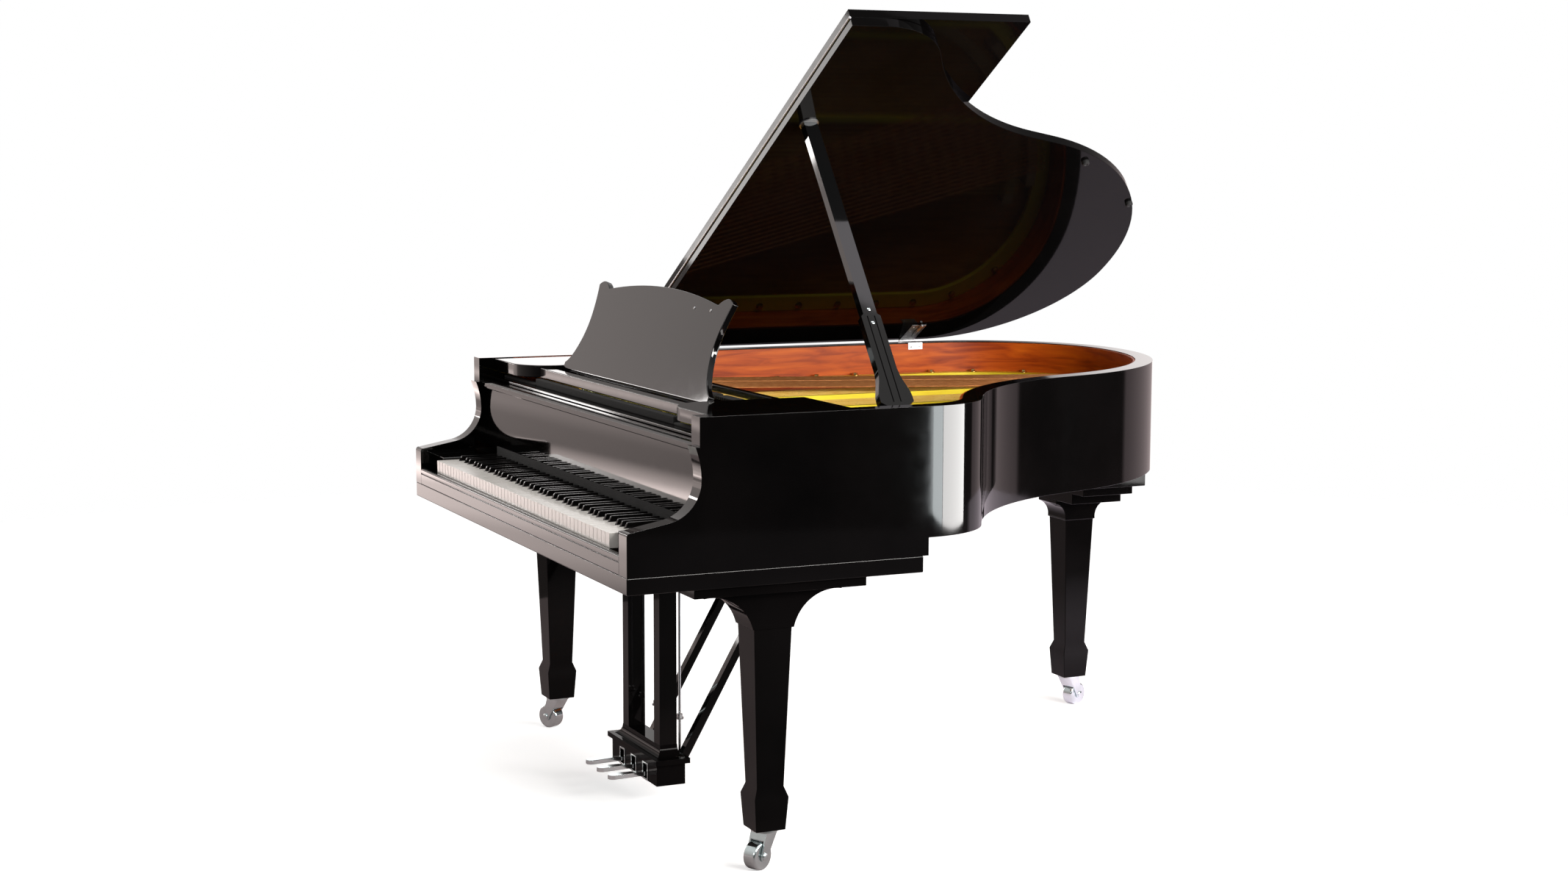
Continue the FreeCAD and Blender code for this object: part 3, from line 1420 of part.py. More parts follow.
corbel_top = size.keybed_height - size.leg_plate_thickness - size.glue_line
leg_top = size.keybed_height - size.leg_plate_thickness - size.corbel_height
leg_half = size.leg_top_width / 2
for name, (across_formula, along_formula, place) in leg_places.items():
    leg_x = place.x
    leg_y = place.y
    reach = leg_reaches[name]
    body = doc.addObject("PartDesign::Body", f"leg_shaft_{name}")
    sections = [
        square_section(body, f"leg_section_{name}_{number}", width, height)
        for number, (width, height) in enumerate(LEG_SECTIONS)
    ]
    tapered(body, f"leg_taper_{name}", sections)
    body.setExpression("Placement.Base.x", bound(across_formula))
    body.setExpression("Placement.Base.y", bound(along_formula))
    wing_top = corbel_top - leg_drops[name]
    cove_rise = wing_top - size.corbel_lip - leg_top
    cove_run = reach - leg_half
    corbel_edges = []
    wings = []
    roots = []
    for side in (-1, 1):
        tip = Vector(leg_x - leg_half, leg_y + side * reach, wing_top - size.corbel_lip)
        bow = Vector(
            leg_x - leg_half,
            leg_y + side * (leg_half + cove_run * (1 - math.cos(QUARTER / 2))),
            leg_top + cove_rise * math.sin(QUARTER / 2),
        )
        roots.append(Vector(leg_x - leg_half, leg_y + side * leg_half, leg_top))
        wings.append(tip + Z_AXIS * size.corbel_lip)
        corbel_edges += [line(wings[-1], tip), arc(tip, bow, roots[-1])]
    corbel_edges += [line(*wings), line(*roots)]
    corbel_wire = Part.Wire(Part.__sortEdges__(corbel_edges))
    corbel = solid(f"corbel_{name}", Part.Face(corbel_wire).extrude(X_AXIS * size.leg_top_width))
    socket = cylinder(
        f"caster_socket_{name}",
        Z_AXIS,
        radius="stem_radius + running_gap",
        height="stem_length + overrun",
        x=across_formula,
        y=along_formula,
        z="caster_height",
    )
    node(cut(f"leg_{name}", fuse(f"leg_blank_{name}", [body, corbel]), socket))

    # Caster under the leg: a swivelling fork whose crown and two cheeks hold a wide trailing wheel
    swivel = Rotation(Z_AXIS, caster_turns[name])
    plate_high = size.caster_height - size.seat_gap
    plate_low = plate_high - size.caster_plate
    axle = Vector(size.caster_trail, 0, size.wheel_radius)
    wheel_half = size.wheel_width / 2
    cheek_inner = wheel_half + size.wheel_side_gap
    cheek_outer = cheek_inner + size.caster_cheek
    fork = Part.makeCylinder(size.caster_plate_radius, size.caster_plate, Z_AXIS * plate_low)
    fork_parts = [rod(size.stem_radius, Z_AXIS * plate_low, Z_AXIS * (size.caster_height + size.stem_length))]
    fork_outline = [
        Vector(-size.caster_neck_radius, 0, plate_low + size.seat_gap),
        Vector(axle.x - size.caster_boss_radius, 0, axle.z),
        Vector(axle.x + size.caster_boss_radius, 0, axle.z),
        Vector(size.caster_neck_radius, 0, plate_low + size.seat_gap),
    ]
    crown_face = polygon([point - Y_AXIS * cheek_inner for point in fork_outline])
    crown = crown_face.extrude(Y_AXIS * 2 * cheek_inner)
    crown_hollow = rod(
        size.wheel_radius + size.caster_crown_gap,
        axle - Y_AXIS * size.wheel_radius,
        axle + Y_AXIS * size.wheel_radius,
    )
    fork_parts.append(crown.cut(crown_hollow))
    for side in (-1, 1):
        inside = Y_AXIS * side * cheek_inner
        cheek = polygon([point + inside for point in fork_outline]).extrude(Y_AXIS * side * size.caster_cheek)
        boss = rod(size.caster_boss_radius, axle + inside, axle + Y_AXIS * side * cheek_outer)
        fork_parts += [cheek, boss]
    axle_bore = rod(size.axle_radius + size.running_gap, axle - Y_AXIS * size.wheel_radius,
                    axle + Y_AXIS * size.wheel_radius)
    fork_shape = fork.fuse(fork_parts).cut(axle_bore)
    caster_fork = solid(f"caster_fork_{name}", fork_shape)
    caster_fork.Placement = Placement(place, swivel)
    node(caster_fork)

    tread = rod(size.wheel_radius, axle - Y_AXIS * wheel_half, axle + Y_AXIS * wheel_half)
    rims = [edge for edge in tread.Edges if len(edge.Vertexes) == 1]
    axle_pin = rod(size.axle_radius, axle - Y_AXIS * cheek_outer, axle + Y_AXIS * cheek_outer)
    wheel_shape = tread.makeFillet(size.wheel_round, rims).fuse(axle_pin)
    caster_wheel = solid(f"caster_wheel_{name}", wheel_shape)
    caster_wheel.Placement = Placement(place, swivel)
    node(caster_wheel)

# Leg plates under the keybed, and the stepped block that brings the tail leg up to the rim
leg_plates = []
for name, across_formula in (("bass_leg_plate", bass_leg_x), ("treble_leg_plate", treble_leg_x)):
    leg_plates.append(
        box(
            name,
            length="leg_plate_width",
            width="leg_plate_depth",
            height="leg_plate_thickness - glue_line",
            x=f"{across_formula} - leg_plate_width / 2",
            y=f"{front_leg_y} - leg_plate_depth / 2",
            z="keybed_height - leg_plate_thickness",
        )
    )
tail_block = None
step_top = rim_bottom - size.glue_line
block_bottom = corbel_top - size.tail_drop + size.glue_line
for number in range(TAIL_STEPS):
    step_bottom = block_bottom + (TAIL_STEPS - 1 - number) * size.tail_step
    across = size.tail_step_width - number * size.tail_step_inset
    along = size.tail_step_depth - number * size.tail_step_inset
    tread = block(
        tail_place.x - across / 2,
        tail_place.x + across / 2,
        tail_place.y - max(along / 2, size.tail_corbel_reach),
        tail_place.y + max(along / 2, size.tail_corbel_reach),
        step_bottom,
        step_top,
    )
    tail_block = tread if tail_block is None else tail_block.fuse(tread)
    step_top = step_bottom
leg_plates.append(solid("tail_leg_plate", tail_block.removeSplitter()))
node(group("leg_plates", leg_plates))

# Lyre: two posts from a head under the keybed, standing on the pedal box
box_half = size.lyre_box_width / 2
box_front = front + size.lyre_box_setback
box_back = box_front + size.lyre_box_depth
box_top = size.lyre_box_bottom + size.lyre_box_height
cornice_top = box_top + size.cornice_height
cove_top = cornice_top + size.cove_height
pedal_axis_y = front + size.pedal_axis_setback
slot_half = size.pedal_slot_width / 2
slot_bottom = size.pedal_axis_height - size.pedal_slot_height / 2 + size.overrun
slot_top = slot_bottom + size.pedal_slot_height
pedal_places = {"soft": -size.pedal_spacing, "sostenuto": 0, "sustain": size.pedal_spacing}


def level_rectangle(half, y_low, y_high, z):
    corners = [
        Vector(-half, y_low, z),
        Vector(half, y_low, z),
        Vector(half, y_high, z),
        Vector(-half, y_high, z),
    ]
    return Part.makePolygon([*corners, corners[0]])


lyre_box = block(-box_half, box_half, box_front, box_back, size.lyre_box_bottom, box_top)
cornice = block(
    -box_half - size.cornice_overhang,
    box_half + size.cornice_overhang,
    box_front - size.cornice_overhang / 2,
    box_back + size.cornice_overhang / 2,
    box_top,
    cornice_top,
)
cove_front = front + size.post_setback
cove_back = cove_front + size.post_depth
cove_sections = []
for number in range(COVE_FACETS + 1):
    angle = QUARTER * number / COVE_FACETS
    inward = math.sin(angle)
    cove_sections.append(
        level_rectangle(
            box_half - inward * size.cove_inset,
            box_front + inward * (cove_front - box_front),
            box_back + inward * (cove_back - box_back),
            cornice_top + (1 - math.cos(angle)) * size.cove_height,
        )
    )
cove_loft = Part.makeLoft(cove_sections, True, True)
lyre_box = lyre_box.fuse([cornice, cove_loft]).removeSplitter()
pin_reach = slot_half + size.pedal_pin_grip
escutcheons = []
for name, place in pedal_places.items():
    slot = block(
        place - slot_half,
        place + slot_half,
        box_front - size.overrun,
        box_back + size.overrun,
        slot_bottom,
        slot_top,
    )
    socket = rod(
        size.pedal_pin_radius + size.running_gap,
        Vector(place - pin_reach - size.seat_gap, pedal_axis_y, size.pedal_axis_height),
        Vector(place + pin_reach + size.seat_gap, pedal_axis_y, size.pedal_axis_height),
    )
    lyre_box = lyre_box.cut([slot, socket])
    margin = size.escutcheon_margin
    surround = block(
        place - slot_half - margin,
        place + slot_half + margin,
        box_front - size.glue_line - size.escutcheon_thickness,
        box_front - size.glue_line,
        slot_bottom - margin,
        slot_top + margin,
    )
    escutcheons.append(solid(f"escutcheon_{name}", surround.cut(slot)))

    # Pedal: a lever on a cross pin, with a rounded tip in front of the box
    lever_bottom = size.pedal_axis_height - size.pedal_thickness / 2
    lever_half = size.pedal_lever_width / 2
    tip = Vector(place, front + size.pedal_tip_setback + size.pedal_tip_radius, lever_bottom)
    neck_y = front + size.pedal_neck_setback
    tail_end = front + size.pedal_tail_setback
    right_neck = Vector(place + lever_half, neck_y, lever_bottom)
    left_neck = Vector(place - lever_half, neck_y, lever_bottom)
    right_tip = tip + X_AXIS * size.pedal_tip_radius
    left_tip = tip - X_AXIS * size.pedal_tip_radius
    right_tail = Vector(place + lever_half, tail_end, lever_bottom)
    left_tail = Vector(place - lever_half, tail_end, lever_bottom)
    pedal_edges = [
        arc(left_tip, tip - Y_AXIS * size.pedal_tip_radius, right_tip),
        line(right_tip, right_neck),
        line(right_neck, right_tail),
        line(right_tail, left_tail),
        line(left_tail, left_neck),
        line(left_neck, left_tip),
    ]
    lever = Part.Face(Part.Wire(pedal_edges)).extrude(Z_AXIS * size.pedal_thickness)
    cross_pin = rod(
        size.pedal_pin_radius,
        Vector(place - pin_reach, pedal_axis_y, size.pedal_axis_height),
        Vector(place + pin_reach, pedal_axis_y, size.pedal_axis_height),
    )
    node(solid(f"pedal_{name}", lever.fuse(cross_pin)))
    node(
        cylinder(
            f"pedal_rod_{name}",
            Z_AXIS,
            radius="rod_radius",
            height="keybed_height - rod_top_drop - pedal_axis_height - pedal_thickness / 2 - seat_gap",
            x=f"{int(place / size.pedal_spacing)} * pedal_spacing",
            y="-case_length / 2 + rod_setback",
            z="pedal_axis_height + pedal_thickness / 2 + seat_gap",
        )
    )
node(solid("pedal_box", lyre_box))
node(group("pedal_escutcheons", escutcheons))

head_bottom = size.keybed_height - size.lyre_head_height
lyre_shape = block(
    -size.lyre_head_width / 2,
    size.lyre_head_width / 2,
    cove_front - size.cornice_overhang,
    cove_front - size.cornice_overhang + size.lyre_head_depth,
    head_bottom,
    size.keybed_height - size.glue_line,
)
braces = []
for side in (-1, 1):
    middle = side * size.post_spacing / 2
    post = block(
        middle - size.post_width / 2,
        middle + size.post_width / 2,
        cove_front,
        cove_back,
        cove_top + size.glue_line,
        head_bottom,
    )
    lyre_shape = lyre_shape.fuse(post)
    brace_foot = box_back + size.cornice_overhang / 2 + size.glue_line
    brace_bottom = cornice_top - size.brace_foot_height
    brace_top = keybed_top - size.glue_line
    brace_head = belly_back - size.brace_head_depth / 2
    brace_left = middle - size.brace_width / 2
    brace = polygon(
        [
            Vector(brace_left, brace_foot, brace_bottom),
            Vector(brace_left, brace_head + size.brace_head_depth / 2, brace_top),
            Vector(brace_left, brace_head - size.brace_head_depth / 2, brace_top),
            Vector(brace_left, brace_foot, cornice_top),
        ]
    ).extrude(X_AXIS * size.brace_width)
    braces.append(solid("lyre_brace", brace))
for place in pedal_places.values():
    guide = Vector(place, front + size.rod_setback, head_bottom - size.overrun)
    lyre_shape = lyre_shape.cut(
        rod(size.rod_radius + size.rod_guide_gap, guide, guide + Z_AXIS * size.lyre_head_height)
    )
node(solid("lyre_posts", lyre_shape))
node(group("lyre_braces", braces))

doc.recompute()
os.makedirs("parts", exist_ok=True)
for label, obj in nodes.items():
    if "Invalid" in obj.State or "Error" in obj.State:
        raise RuntimeError(f"{label} did not recompute")
    if obj.Shape.isNull() or not obj.Shape.isValid():
        raise RuntimeError(f"{label} has no valid shape")
    obj.Shape.exportStep(f"parts/{label}.step")
print(f"wrote {len(nodes)} pieces")
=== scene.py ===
"""Looks of the grand piano: finishes, eased edges, small fittings, studio light and camera, in metres."""

import math

import bmesh
import bpy
import numpy
from mathutils import Matrix, Vector
from mathutils.bvhtree import BVHTree


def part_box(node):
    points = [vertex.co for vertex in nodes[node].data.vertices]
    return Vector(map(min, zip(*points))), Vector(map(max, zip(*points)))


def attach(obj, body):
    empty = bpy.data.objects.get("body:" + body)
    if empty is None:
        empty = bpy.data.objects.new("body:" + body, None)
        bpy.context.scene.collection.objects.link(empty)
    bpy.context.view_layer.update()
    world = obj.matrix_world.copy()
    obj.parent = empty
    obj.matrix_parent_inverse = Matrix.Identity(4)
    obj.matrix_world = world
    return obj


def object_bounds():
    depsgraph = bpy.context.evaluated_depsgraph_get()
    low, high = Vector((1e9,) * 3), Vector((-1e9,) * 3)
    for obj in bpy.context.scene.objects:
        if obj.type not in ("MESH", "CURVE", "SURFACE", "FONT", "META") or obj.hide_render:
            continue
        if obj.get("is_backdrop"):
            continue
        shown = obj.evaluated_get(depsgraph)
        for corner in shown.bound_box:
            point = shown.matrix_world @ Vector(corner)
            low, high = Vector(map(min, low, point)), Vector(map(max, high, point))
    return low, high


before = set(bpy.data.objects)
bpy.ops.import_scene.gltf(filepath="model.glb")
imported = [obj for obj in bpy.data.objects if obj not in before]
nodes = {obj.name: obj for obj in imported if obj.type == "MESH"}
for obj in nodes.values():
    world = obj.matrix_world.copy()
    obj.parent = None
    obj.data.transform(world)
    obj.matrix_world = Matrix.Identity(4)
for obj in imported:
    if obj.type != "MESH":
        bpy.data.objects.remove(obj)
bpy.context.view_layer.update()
scene = bpy.context.scene


class Graph:
    """A shader node tree, with the steps that finishes, stage and studio share."""

    def __init__(self, tree):
        self.tree = tree

    def add(self, kind, **settings):
        made = self.tree.nodes.new(kind)
        for key, value in settings.items():
            setattr(made, key, value)
        return made

    def link(self, output, target):
        self.tree.links.new(output, target)

    def ramp(self, source, *stops):
        """Colour ramp of (place, colour) stops."""
        ramp = self.add("ShaderNodeValToRGB")
        elements = ramp.color_ramp.elements
        while len(elements) < len(stops):
            elements.new(0.5)
        for element, (place, colour) in zip(elements, stops):
            element.position = place
            element.color = (*colour, 1)
        self.link(source, ramp.inputs["Fac"])
        return ramp.outputs["Color"]

    def spread(self, source, start, end, low=0.0, high=1.0):
        """Value that runs from low to high while the source runs from start to end."""
        ranged = self.add("ShaderNodeMapRange")
        sockets = {"From Min": start, "From Max": end, "To Min": low, "To Max": high}
        for socket, value in sockets.items():
            ranged.inputs[socket].default_value = value
        self.link(source, ranged.inputs["Value"])
        return ranged.outputs["Result"]

    def parts(self, vector):
        """X, Y and Z of a vector."""
        split = self.add("ShaderNodeSeparateXYZ")
        self.link(vector, split.inputs["Vector"])
        return split.outputs

    def show(self, elsewhere, seen, output):
        """Send one shader to the camera and the other to all other rays."""
        ray = self.add("ShaderNodeLightPath")
        mix = self.add("ShaderNodeMixShader")
        self.link(ray.outputs["Is Camera Ray"], mix.inputs["Fac"])
        self.link(elsewhere, mix.inputs[1])
        self.link(seen, mix.inputs[2])
        self.link(mix.outputs["Shader"], output.inputs["Surface"])


class Finish(Graph):
    """A procedural material: a Principled shader and the textures that feed it, in the object's own frame."""

    def __init__(self, name, **sockets):
        self.material = bpy.data.materials.new(name)
        self.material.use_nodes = True
        super().__init__(self.material.node_tree)
        self.shader = self.tree.nodes["Principled BSDF"]
        self.output = self.tree.nodes["Material Output"]
        for socket, value in sockets.items():
            self.shader.inputs[socket.replace("_", " ")].default_value = value
        self.place = self.add("ShaderNodeTexCoord").outputs["Object"]

    def stretched(self, stretch):
        mapping = self.add("ShaderNodeMapping")
        mapping.inputs["Scale"].default_value = stretch
        self.link(self.place, mapping.inputs["Vector"])
        return mapping.outputs["Vector"]

    def noise(self, scale, detail=4.0, stretch=(1, 1, 1), distortion=0.0):
        texture = self.add("ShaderNodeTexNoise")
        texture.inputs["Scale"].default_value = scale
        texture.inputs["Detail"].default_value = detail
        texture.inputs["Distortion"].default_value = distortion
        self.link(self.stretched(stretch), texture.inputs["Vector"])
        return texture.outputs["Fac"]

    def ribs(self, scale, direction):
        """Even ridges across one direction."""
        texture = self.add("ShaderNodeTexWave", bands_direction=direction)
        texture.inputs["Scale"].default_value = scale
        texture.inputs["Distortion"].default_value = 0.0
        texture.inputs["Detail"].default_value = 3.0
        self.link(self.stretched((1, 1, 1)), texture.inputs["Vector"])
        return texture.outputs["Fac"]

    def colour(self, source, *stops):
        self.link(self.ramp(source, *stops), self.shader.inputs["Base Color"])

    def tones(self, source, dark, pale):
        """Base colour that drifts between two tones."""
        self.colour(source, (0.3, dark), (0.7, pale))

    def roughness(self, source, low, high):
        self.link(self.spread(source, 0.0, 1.0, low, high), self.shader.inputs["Roughness"])

    def bump(self, source, strength, depth):
        bump = self.add("ShaderNodeBump")
        bump.inputs["Strength"].default_value = strength
        bump.inputs["Distance"].default_value = depth
        self.link(source, bump.inputs["Height"])
        self.link(bump.outputs["Normal"], self.shader.inputs["Normal"])


def lacquer(name, ior):
    """Polished black polyester: deep, faintly wavy, with fine wiping haze."""
    finish = Finish(name, IOR=ior)
    finish.tones(finish.noise(5.0, 6.0), (0.0010, 0.0009, 0.0009), (0.0022, 0.0018, 0.0018))
    finish.roughness(finish.noise(38.0, 8.0), 0.025, 0.075)
    finish.bump(finish.noise(5.0, 2.0), 0.03, 0.0003)
    return finish.material


def wood(name, pale, mid, dark, scale, gloss, stretch, coat=0.0):
    """Timber whose figure runs along the direction with the smallest stretch."""
    finish = Finish(name, IOR=1.34, Coat_Weight=coat, Coat_Roughness=0.06)
    figure = finish.noise(scale, 9.0, stretch, 0.6)
    finish.colour(figure, (0.28, dark), (0.5, mid), (0.74, pale))
    pores = finish.noise(scale * 9, 6.0, stretch)
    finish.roughness(pores, gloss, gloss + 0.16)
    finish.bump(pores, 0.12, 0.0005)
    return finish.material


def gold_paint():
    """Bronze powder lacquer over sand-cast iron."""
    finish = Finish("gold_iron", Metallic=0.25, IOR=1.5, Coat_Weight=0.2, Coat_Roughness=0.16)
    cloud = finish.noise(11.0, 6.0)
    dark, mid, pale = (0.88, 0.68, 0.024), (0.95, 0.79, 0.032), (0.97, 0.85, 0.05)
    finish.colour(cloud, (0.25, dark), (0.55, mid), (0.8, pale))
    finish.roughness(finish.noise(90.0, 5.0), 0.30, 0.46)
    finish.bump(finish.noise(420.0, 3.0), 0.22, 0.0006)
    return finish.material


def metal(name, dark, pale, low, high, grain, metallic=1.0):
    """Metal with a fine grain and a roughness that drifts from low to high."""
    finish = Finish(name, Metallic=metallic)
    finish.tones(finish.noise(26.0, 4.0), dark, pale)
    finish.roughness(finish.noise(grain, 5.0), low, high)
    finish.bump(finish.noise(grain * 2, 3.0), 0.05, 0.0003)
    return finish.material


def wound_copper():
    """Copper winding, ribbed across the run of the string."""
    finish = Finish("copper_winding", Metallic=0.7)
    finish.tones(finish.noise(60.0), (0.70, 0.24, 0.07), (0.92, 0.40, 0.14))
    finish.roughness(finish.noise(120.0), 0.28, 0.44)
    finish.bump(finish.ribs(330.0, "Y"), 0.5, 0.0005)
    return finish.material


def key_plastic():
    """Off-white key tops with a faint lengthwise grain."""
    finish = Finish("key_white", IOR=1.5)
    grain = finish.noise(60.0, 5.0, (6, 0.35, 1))
    finish.tones(grain, (0.68, 0.645, 0.60), (0.77, 0.74, 0.70))
    finish.roughness(finish.noise(160.0, 4.0), 0.16, 0.28)
    finish.bump(grain, 0.05, 0.0003)
    return finish.material


def sharp_black():
    """Black of the sharps, smooth with a faint lengthwise grain."""
    finish = Finish("key_black", IOR=1.18)
    grain = finish.noise(80.0, 5.0, (6, 0.35, 1))
    finish.tones(grain, (0.002, 0.002, 0.002), (0.006, 0.005, 0.005))
    finish.roughness(finish.noise(150.0), 0.10, 0.20)
    finish.bump(finish.noise(300.0, 4.0, (5, 0.4, 1)), 0.06, 0.0003)
    return finish.material


def felt(name, dark, pale):
    """Pressed wool with a short nap."""
    finish = Finish(name, Sheen_Weight=0.03, Sheen_Roughness=0.6)
    nap = finish.noise(900.0, 8.0)
    finish.tones(nap, dark, pale)
    finish.roughness(nap, 0.85, 1.0)
    finish.bump(nap, 0.6, 0.0012)
    return finish.material


def rubber():
    """Moulded black rubber, dull with a fine grain."""
    finish = Finish("rubber", IOR=1.45)
    finish.tones(finish.noise(70.0), (0.008, 0.008, 0.008), (0.018, 0.017, 0.017))
    finish.roughness(finish.noise(140.0), 0.55, 0.75)
    finish.bump(finish.noise(900.0, 4.0), 0.25, 0.0004)
    return finish.material


# The second and third lacquers are the first with a lower IOR: their weaker reflections are painted shade on
# the lid, flap, pedal box, legs and lyre.
ebony = lacquer("ebony_gloss", 1.52)
shaded_ebony = lacquer("ebony_shaded", 1.12)
shaded_leg_ebony = lacquer("ebony_legs_shaded", 1.22)
veneer = wood(
    "veneer", (0.72, 0.145, 0.007), (0.54, 0.084, 0.004), (0.28, 0.032, 0.002), 7.0, 0.34, (1, 1, 9)
)
spruce = wood(
    "spruce", (0.78, 0.34, 0.05), (0.64, 0.25, 0.035), (0.48, 0.17, 0.022), 16.0, 0.26, (6, 0.5, 1), 0.2
)
maple = wood("maple", (0.66, 0.46, 0.27), (0.55, 0.36, 0.19), (0.40, 0.24, 0.12), 12.0, 0.34, (5, 0.6, 1))
gold = gold_paint()
# The string steel, shared by the pin coils, is painted amber: a painted reflection of the gold plate.
painted_gold_steel = metal("string_steel", (0.90, 0.54, 0.09), (0.98, 0.70, 0.18), 0.22, 0.38, 180.0, 0.5)
copper = wound_copper()
nickel = metal("satin_nickel", (0.50, 0.50, 0.51), (0.66, 0.66, 0.66), 0.32, 0.46, 110.0)
# The bright metal is tinted bluish against the pink of the floor that it mirrors: a painted correction of its
# reflection.
chrome = metal("bright_metal", (0.68, 0.76, 0.77), (0.84, 0.93, 0.94), 0.05, 0.16, 70.0)
brass = metal("brass", (0.56, 0.37, 0.11), (0.78, 0.57, 0.22), 0.14, 0.28, 90.0)
ivory = key_plastic()
jet = sharp_black()
black_felt = felt("damper_felt", (0.002, 0.002, 0.002), (0.007, 0.0065, 0.006))
white_felt = felt("hammer_felt", (0.46, 0.43, 0.37), (0.66, 0.63, 0.56))
red_felt = felt("red_felt", (0.20, 0.016, 0.014), (0.34, 0.04, 0.03))
black_rubber = rubber()

NATURALS = ["keys_a", "keys_b", "keys_c", "keys_d", "keys_e", "keys_f", "keys_g"]
SHARPS = ["keys_a_sharp", "keys_c_sharp", "keys_d_sharp", "keys_f_sharp", "keys_g_sharp"]
LEGS = ["treble", "bass", "tail"]
PEDALS = ["soft", "sostenuto", "sustain"]

# Each finish, how wide its edges are eased, and its nodes
finishes = [
    (ebony, 0.0022, ["outer_rim", "keybed", "key_slip", "cheek_blocks", "shelf_sides", "music_tray"]),
    (ebony, 0.0016, ["fallboard", "music_desk", "stretcher_rail", "lid_prop"]),
    (shaded_ebony, 0.0045, ["main_lid", "lid_flap"]),
    (shaded_ebony, 0.0016, ["pedal_box"]),
    (shaded_leg_ebony, 0.0018, ["leg_plates", *(f"leg_{name}" for name in LEGS)]),
    (shaded_leg_ebony, 0.0016, ["lyre_posts"]),
    (shaded_leg_ebony, 0.0012, ["lyre_braces"]),
    (veneer, 0.0010, ["inner_rim"]),
    (spruce, 0.0010, ["soundboard"]),
    (maple, 0.0015, ["bridges", "pin_block", "case_beams", "key_frame"]),
    (gold, 0.0030, ["iron_plate"]),
    (painted_gold_steel, 0.0, ["treble_strings"]),
    (copper, 0.0, ["bass_strings"]),
    (nickel, 0.0006, ["lid_hinge_lower", "lid_hardware"]),
    (chrome, 0.0006, ["tuning_pins", "prop_bracket", "pedal_escutcheons"]),
    (chrome, 0.0008, ["desk_strut", *(f"caster_fork_{name}" for name in LEGS)]),
    (chrome, 0.0010, [f"caster_wheel_{name}" for name in LEGS]),
    (chrome, 0.0025, [f"pedal_{name}" for name in PEDALS]),
    (chrome, 0.0, [f"pedal_rod_{name}" for name in PEDALS]),
    (ivory, 0.0011, NATURALS),
    (jet, 0.0012, SHARPS),
    (white_felt, 0.0010, ["hammers"]),
    (black_felt, 0.0010, ["dampers"]),
]

SEAM = 0.00001
FLAT_ANGLE = math.radians(0.4)
EDGE_ANGLE = math.radians(28)
ROUND_STEPS = 3


def ease(obj, width):
    """Merge the split seams of a CAD mesh, drop its flat triangles and round its edges."""
    weld = obj.modifiers.new("weld", "WELD")
    weld.merge_threshold = SEAM
    if width:
        flat = obj.modifiers.new("flat", "DECIMATE")
        flat.decimate_type = "DISSOLVE"
        flat.angle_limit = FLAT_ANGLE
        bevel = obj.modifiers.new("ease", "BEVEL")
        bevel.width = width
        bevel.segments = ROUND_STEPS
        bevel.limit_method = "ANGLE"
        bevel.angle_limit = EDGE_ANGLE
    even = obj.modifiers.new("even", "WEIGHTED_NORMAL")
    even.weight = 100
    obj.data.polygons.foreach_set("use_smooth", [True] * len(obj.data.polygons))


for material, width, names in finishes:
    for name in names:
        obj = nodes[name]
        obj.data.materials.clear()
        obj.data.materials.append(material)
        ease(obj, width)


def islands(name):
    """Corner points of every separate solid in a CAD node."""
    mesh = bmesh.new()
    mesh.from_mesh(nodes[name].data)
    bmesh.ops.remove_doubles(mesh, verts=mesh.verts, dist=SEAM)
    waiting = set(mesh.verts)
    found = []
    while waiting:
        edge = [waiting.pop()]
        group = list(edge)
        while edge:
            corner = edge.pop()
            for line in corner.link_edges:
                other = line.other_vert(corner)
                if other in waiting:
                    waiting.remove(other)
                    edge.append(other)
                    group.append(other)
        found.append([corner.co.copy() for corner in group])
    mesh.free()
    return found


def middle(points):
    return sum(points, Vector()) / len(points)


def extent(points):
    """Lowest and highest corner of some points."""
    return (Vector(map(min, zip(*points))), Vector(map(max, zip(*points))))


trees = {}


def touch(name, origin, direction):
    """Where a line first meets a CAD node."""
    if name not in trees:
        data = nodes[name].data
        trees[name] = BVHTree.FromPolygons([v.co for v in data.vertices], [p.vertices for p in data.polygons])
    return trees[name].ray_cast(Vector(origin), Vector(direction))[0]


def lathe(mesh, place, axis, profile, count=16):
    """Turned form: (radius, height) pairs swept round an axis through a place."""
    turn = Vector(axis).to_track_quat("Z", "Y").to_matrix()
    rounds = []
    for radius, height in profile:
        angles = [2 * math.pi * number / count for number in range(count if radius else 1)]
        points = [Vector((radius * math.cos(a), radius * math.sin(a), height)) for a in angles]
        rounds.append([mesh.verts.new(Vector(place) + turn @ point) for point in points])
    for lower, upper in zip(rounds, rounds[1:]):
        for number in range(count):
            after = number + 1
            corners = [
                lower[number % len(lower)],
                lower[after % len(lower)],
                upper[after % len(upper)],
                upper[number % len(upper)],
            ]
            mesh.faces.new(list(dict.fromkeys(corners)))


def ring(mesh, place, axis, radius, tube, count, sides):
    """Round wire ring."""
    angles = [2 * math.pi * number / sides for number in range(sides + 1)]
    lathe(mesh, place, axis, [(radius + tube * math.cos(a), tube * math.sin(a)) for a in angles], count)


def pad(mesh, low, high, rounding):
    """Block with well rounded edges."""
    low, high = Vector(low), Vector(high)
    made = bmesh.ops.create_cube(mesh, size=1, matrix=Matrix.LocRotScale((low + high) / 2, None, high - low))
    edges = list({edge for corner in made["verts"] for edge in corner.link_edges})
    bmesh.ops.bevel(mesh, geom=edges, offset=rounding, segments=ROUND_STEPS, profile=0.5, affect="EDGES")


DOUBLE = 0.000001
SHARP_ANGLE = math.radians(40)


